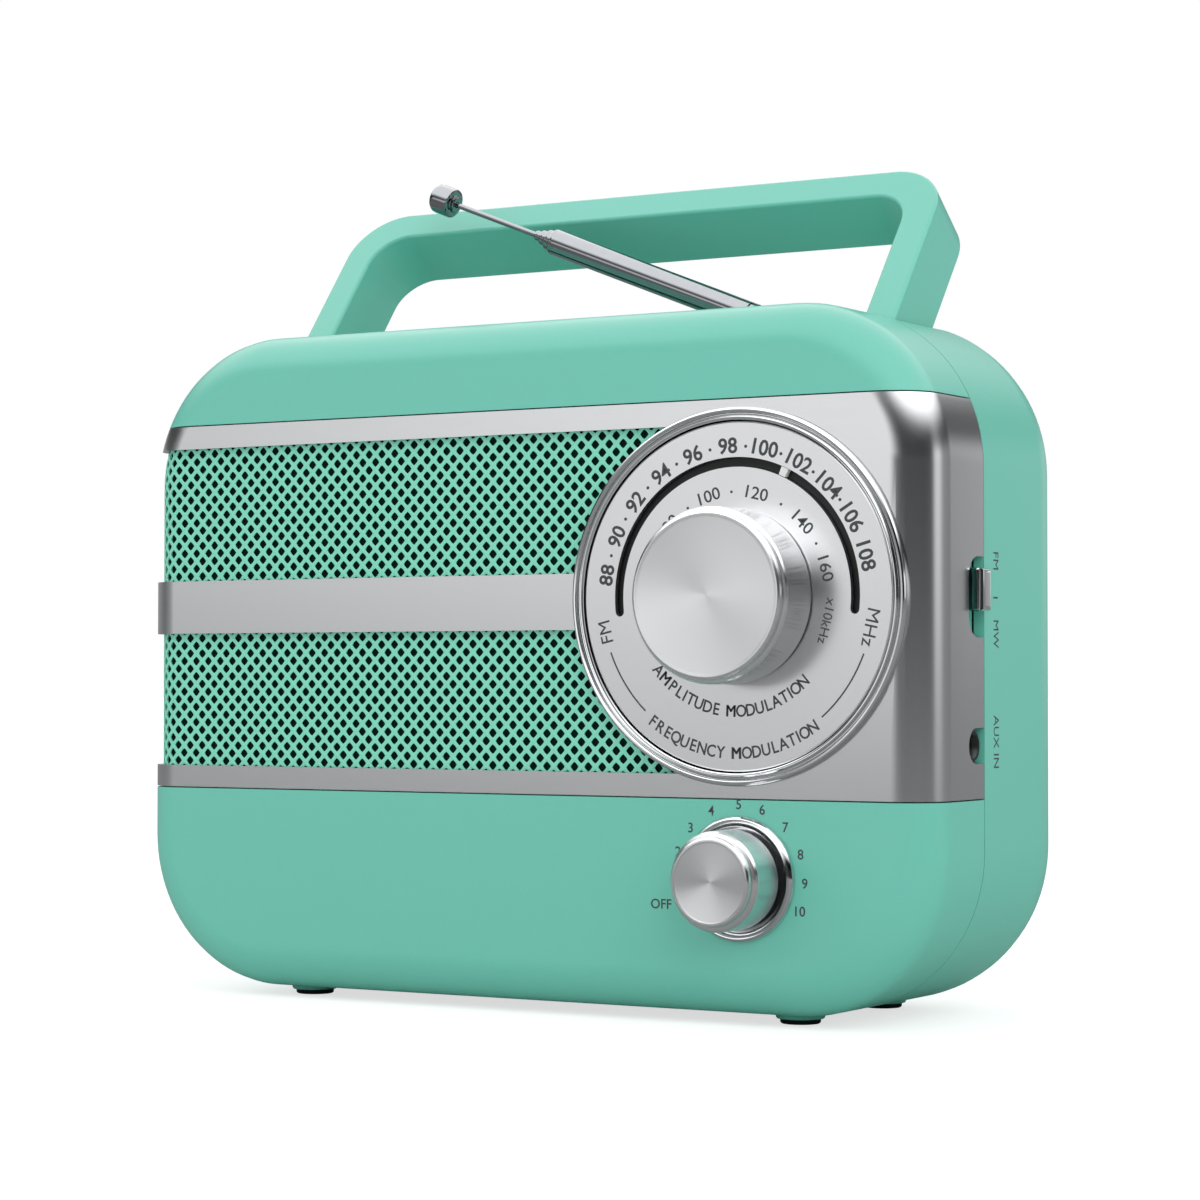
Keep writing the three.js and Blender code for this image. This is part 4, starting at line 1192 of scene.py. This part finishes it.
# Seamless paper: white where it is seen, and greyer in what it throws back on the radio.
paper, shader = newMaterial("studioPaper", {"Roughness": 0.9})
grain(paper, shader, "#F6F6F6", "#F2F2F2", 40, (0.85, 0.95), 0.01)
rays = addNode(paper, "ShaderNodeLightPath", {})
glow = addNode(paper, "ShaderNodeEmission", {"Strength": studio["floorGlow"]})
seen = addNode(
    paper, "ShaderNodeMixShader", {"Fac": studio["floorShade"]}, {1: glow.outputs[0], 2: shader.outputs[0]}
)
onSurfaces = addNode(paper, "ShaderNodeBsdfDiffuse", {"Color": hexColour(studio["floorForSurfaces"])})
inMirrors = addNode(paper, "ShaderNodeBsdfDiffuse", {"Color": hexColour(studio["floorForReflections"])})
unseen = addNode(
    paper,
    "ShaderNodeMixShader",
    {},
    {0: rays.outputs["Is Glossy Ray"], 1: onSurfaces.outputs[0], 2: inMirrors.outputs[0]},
)
whole = addNode(
    paper,
    "ShaderNodeMixShader",
    {},
    {0: rays.outputs["Is Camera Ray"], 1: unseen.outputs[0], 2: seen.outputs[0]},
)
paper.node_tree.links.new(whole.outputs[0], paper.node_tree.nodes["Material Output"].inputs["Surface"])
floor.data.materials.append(paper)

# Brightness of the panels round the table, by compass angle from the front. Polished pieces mirror them.
panels = {
    -180: 0.3, -110: 0.22, -72: 0.12, -52: 0.3, -39: 0.7, -30: 1, -15: 1, -5: 0.55, 5: 0.12, 16: 0.02,
    68: 0.02, 87: 0.05, 97: 0.8, 107: 0.8, 121: 0.28, 150: 0.2, 180: 0.3,
}
world = bpy.data.worlds.new("studio")
bpy.context.scene.world = world
world.use_nodes = True
direction = addNode(world, "ShaderNodeTexCoord", {})
parts = addNode(world, "ShaderNodeSeparateXYZ", {}, {0: direction.outputs["Generated"]})
forward = addNode(world, "ShaderNodeMath", {"operation": "MULTIPLY", 1: -1}, {0: parts.outputs["Y"]})
compass = addNode(
    world, "ShaderNodeMath", {"operation": "ARCTAN2"}, {0: parts.outputs["X"], 1: forward.outputs[0]}
)
fullTurn = {"From Min": -math.pi, "From Max": math.pi}
turned360 = addNode(world, "ShaderNodeMapRange", fullTurn, {"Value": compass.outputs[0]})
ring = addNode(world, "ShaderNodeValToRGB", {}, {"Fac": turned360.outputs[0]})
stops = ring.color_ramp.elements
for angle, brightness in panels.items():
    share = (angle + 180) / 360
    stop = stops[round(share)] if share in (0, 1) else stops.new(share)
    stop.color = (brightness, brightness, brightness, 1)
rise = addNode(
    world,
    "ShaderNodeMapRange",
    {"From Min": -0.05, "From Max": 0.3, "To Min": 0.55 * studio["panels"], "To Max": 1.3 * studio["panels"]},
    {"Value": parts.outputs["Z"]},
)
panelTop = addNode(
    world,
    "ShaderNodeMapRange",
    {"interpolation_type": "SMOOTHSTEP", "From Min": 0.13, "From Max": 0.22, "To Min": 1, "To Max": 0.12},
    {"Value": parts.outputs["Z"]},
)
lit = addNode(
    world, "ShaderNodeMath", {"operation": "MULTIPLY"}, {0: rise.outputs[0], 1: panelTop.outputs[0]}
)
side = addNode(
    world, "ShaderNodeMath", {"operation": "MULTIPLY"}, {0: ring.outputs["Color"], 1: lit.outputs[0]}
)
height = addNode(
    world,
    "ShaderNodeMapRange",
    {"interpolation_type": "SMOOTHSTEP", "From Min": 0.32, "From Max": 0.6},
    {"Value": parts.outputs["Z"]},
)
toTop = addNode(
    world,
    "ShaderNodeMix",
    {"data_type": "FLOAT", "B": studio["overhead"]},
    {"Factor": height.outputs[0], "A": side.outputs[0]},
)
mirrored = addNode(world, "ShaderNodeBackground", {}, {"Strength": toTop.outputs[0]})
around = addNode(world, "ShaderNodeBackground", {"Strength": studio["skyForSurfaces"]})
behindAll = addNode(world, "ShaderNodeBackground", {"Strength": 1})
for shade in (mirrored, around, behindAll):
    shade.inputs["Color"].default_value = (1, 1, 1, 1)
rays = addNode(world, "ShaderNodeLightPath", {})
unseen = addNode(
    world,
    "ShaderNodeMixShader",
    {},
    {0: rays.outputs["Is Glossy Ray"], 1: around.outputs[0], 2: mirrored.outputs[0]},
)
whole = addNode(
    world,
    "ShaderNodeMixShader",
    {},
    {0: rays.outputs["Is Camera Ray"], 1: unseen.outputs[0], 2: behindAll.outputs[0]},
)
world.node_tree.links.new(whole.outputs[0], world.node_tree.nodes["World Output"].inputs["Surface"])


def softbox(name, place, aim, size, power):
    light = bpy.data.lights.new(name, "AREA")
    light.shape = "RECTANGLE"
    light.size, light.size_y = size
    light.energy = power
    lamp = bpy.data.objects.new(name, light)
    bpy.context.scene.collection.objects.link(lamp)
    lamp.location = place
    lamp.visible_glossy = False
    lamp.rotation_euler = (Vector(aim) - Vector(place)).to_track_quat("-Z", "Y").to_euler()
    return lamp


softbox("key", (1.05, -0.85, 0.85), (0, 0, 0.08), (1.0, 1.0), 6)
softbox("fill_left", (-1.1, -0.5, 0.8), (0, 0, 0.08), (0.8, 0.8), 2.5)

lens = bpy.data.cameras.new("camera")
camera = bpy.data.objects.new("camera", lens)
bpy.context.scene.collection.objects.link(camera)
camera.location = (0.404704, -0.660046, 0.077928)
camera.rotation_euler = (math.pi / 2 + 0.0248521, 0, 0.5437738)
lens.sensor_width = 36
lens.lens = 95.738
bpy.context.scene.camera = camera
bpy.context.scene.view_settings.view_transform = "Standard"
print("studio")
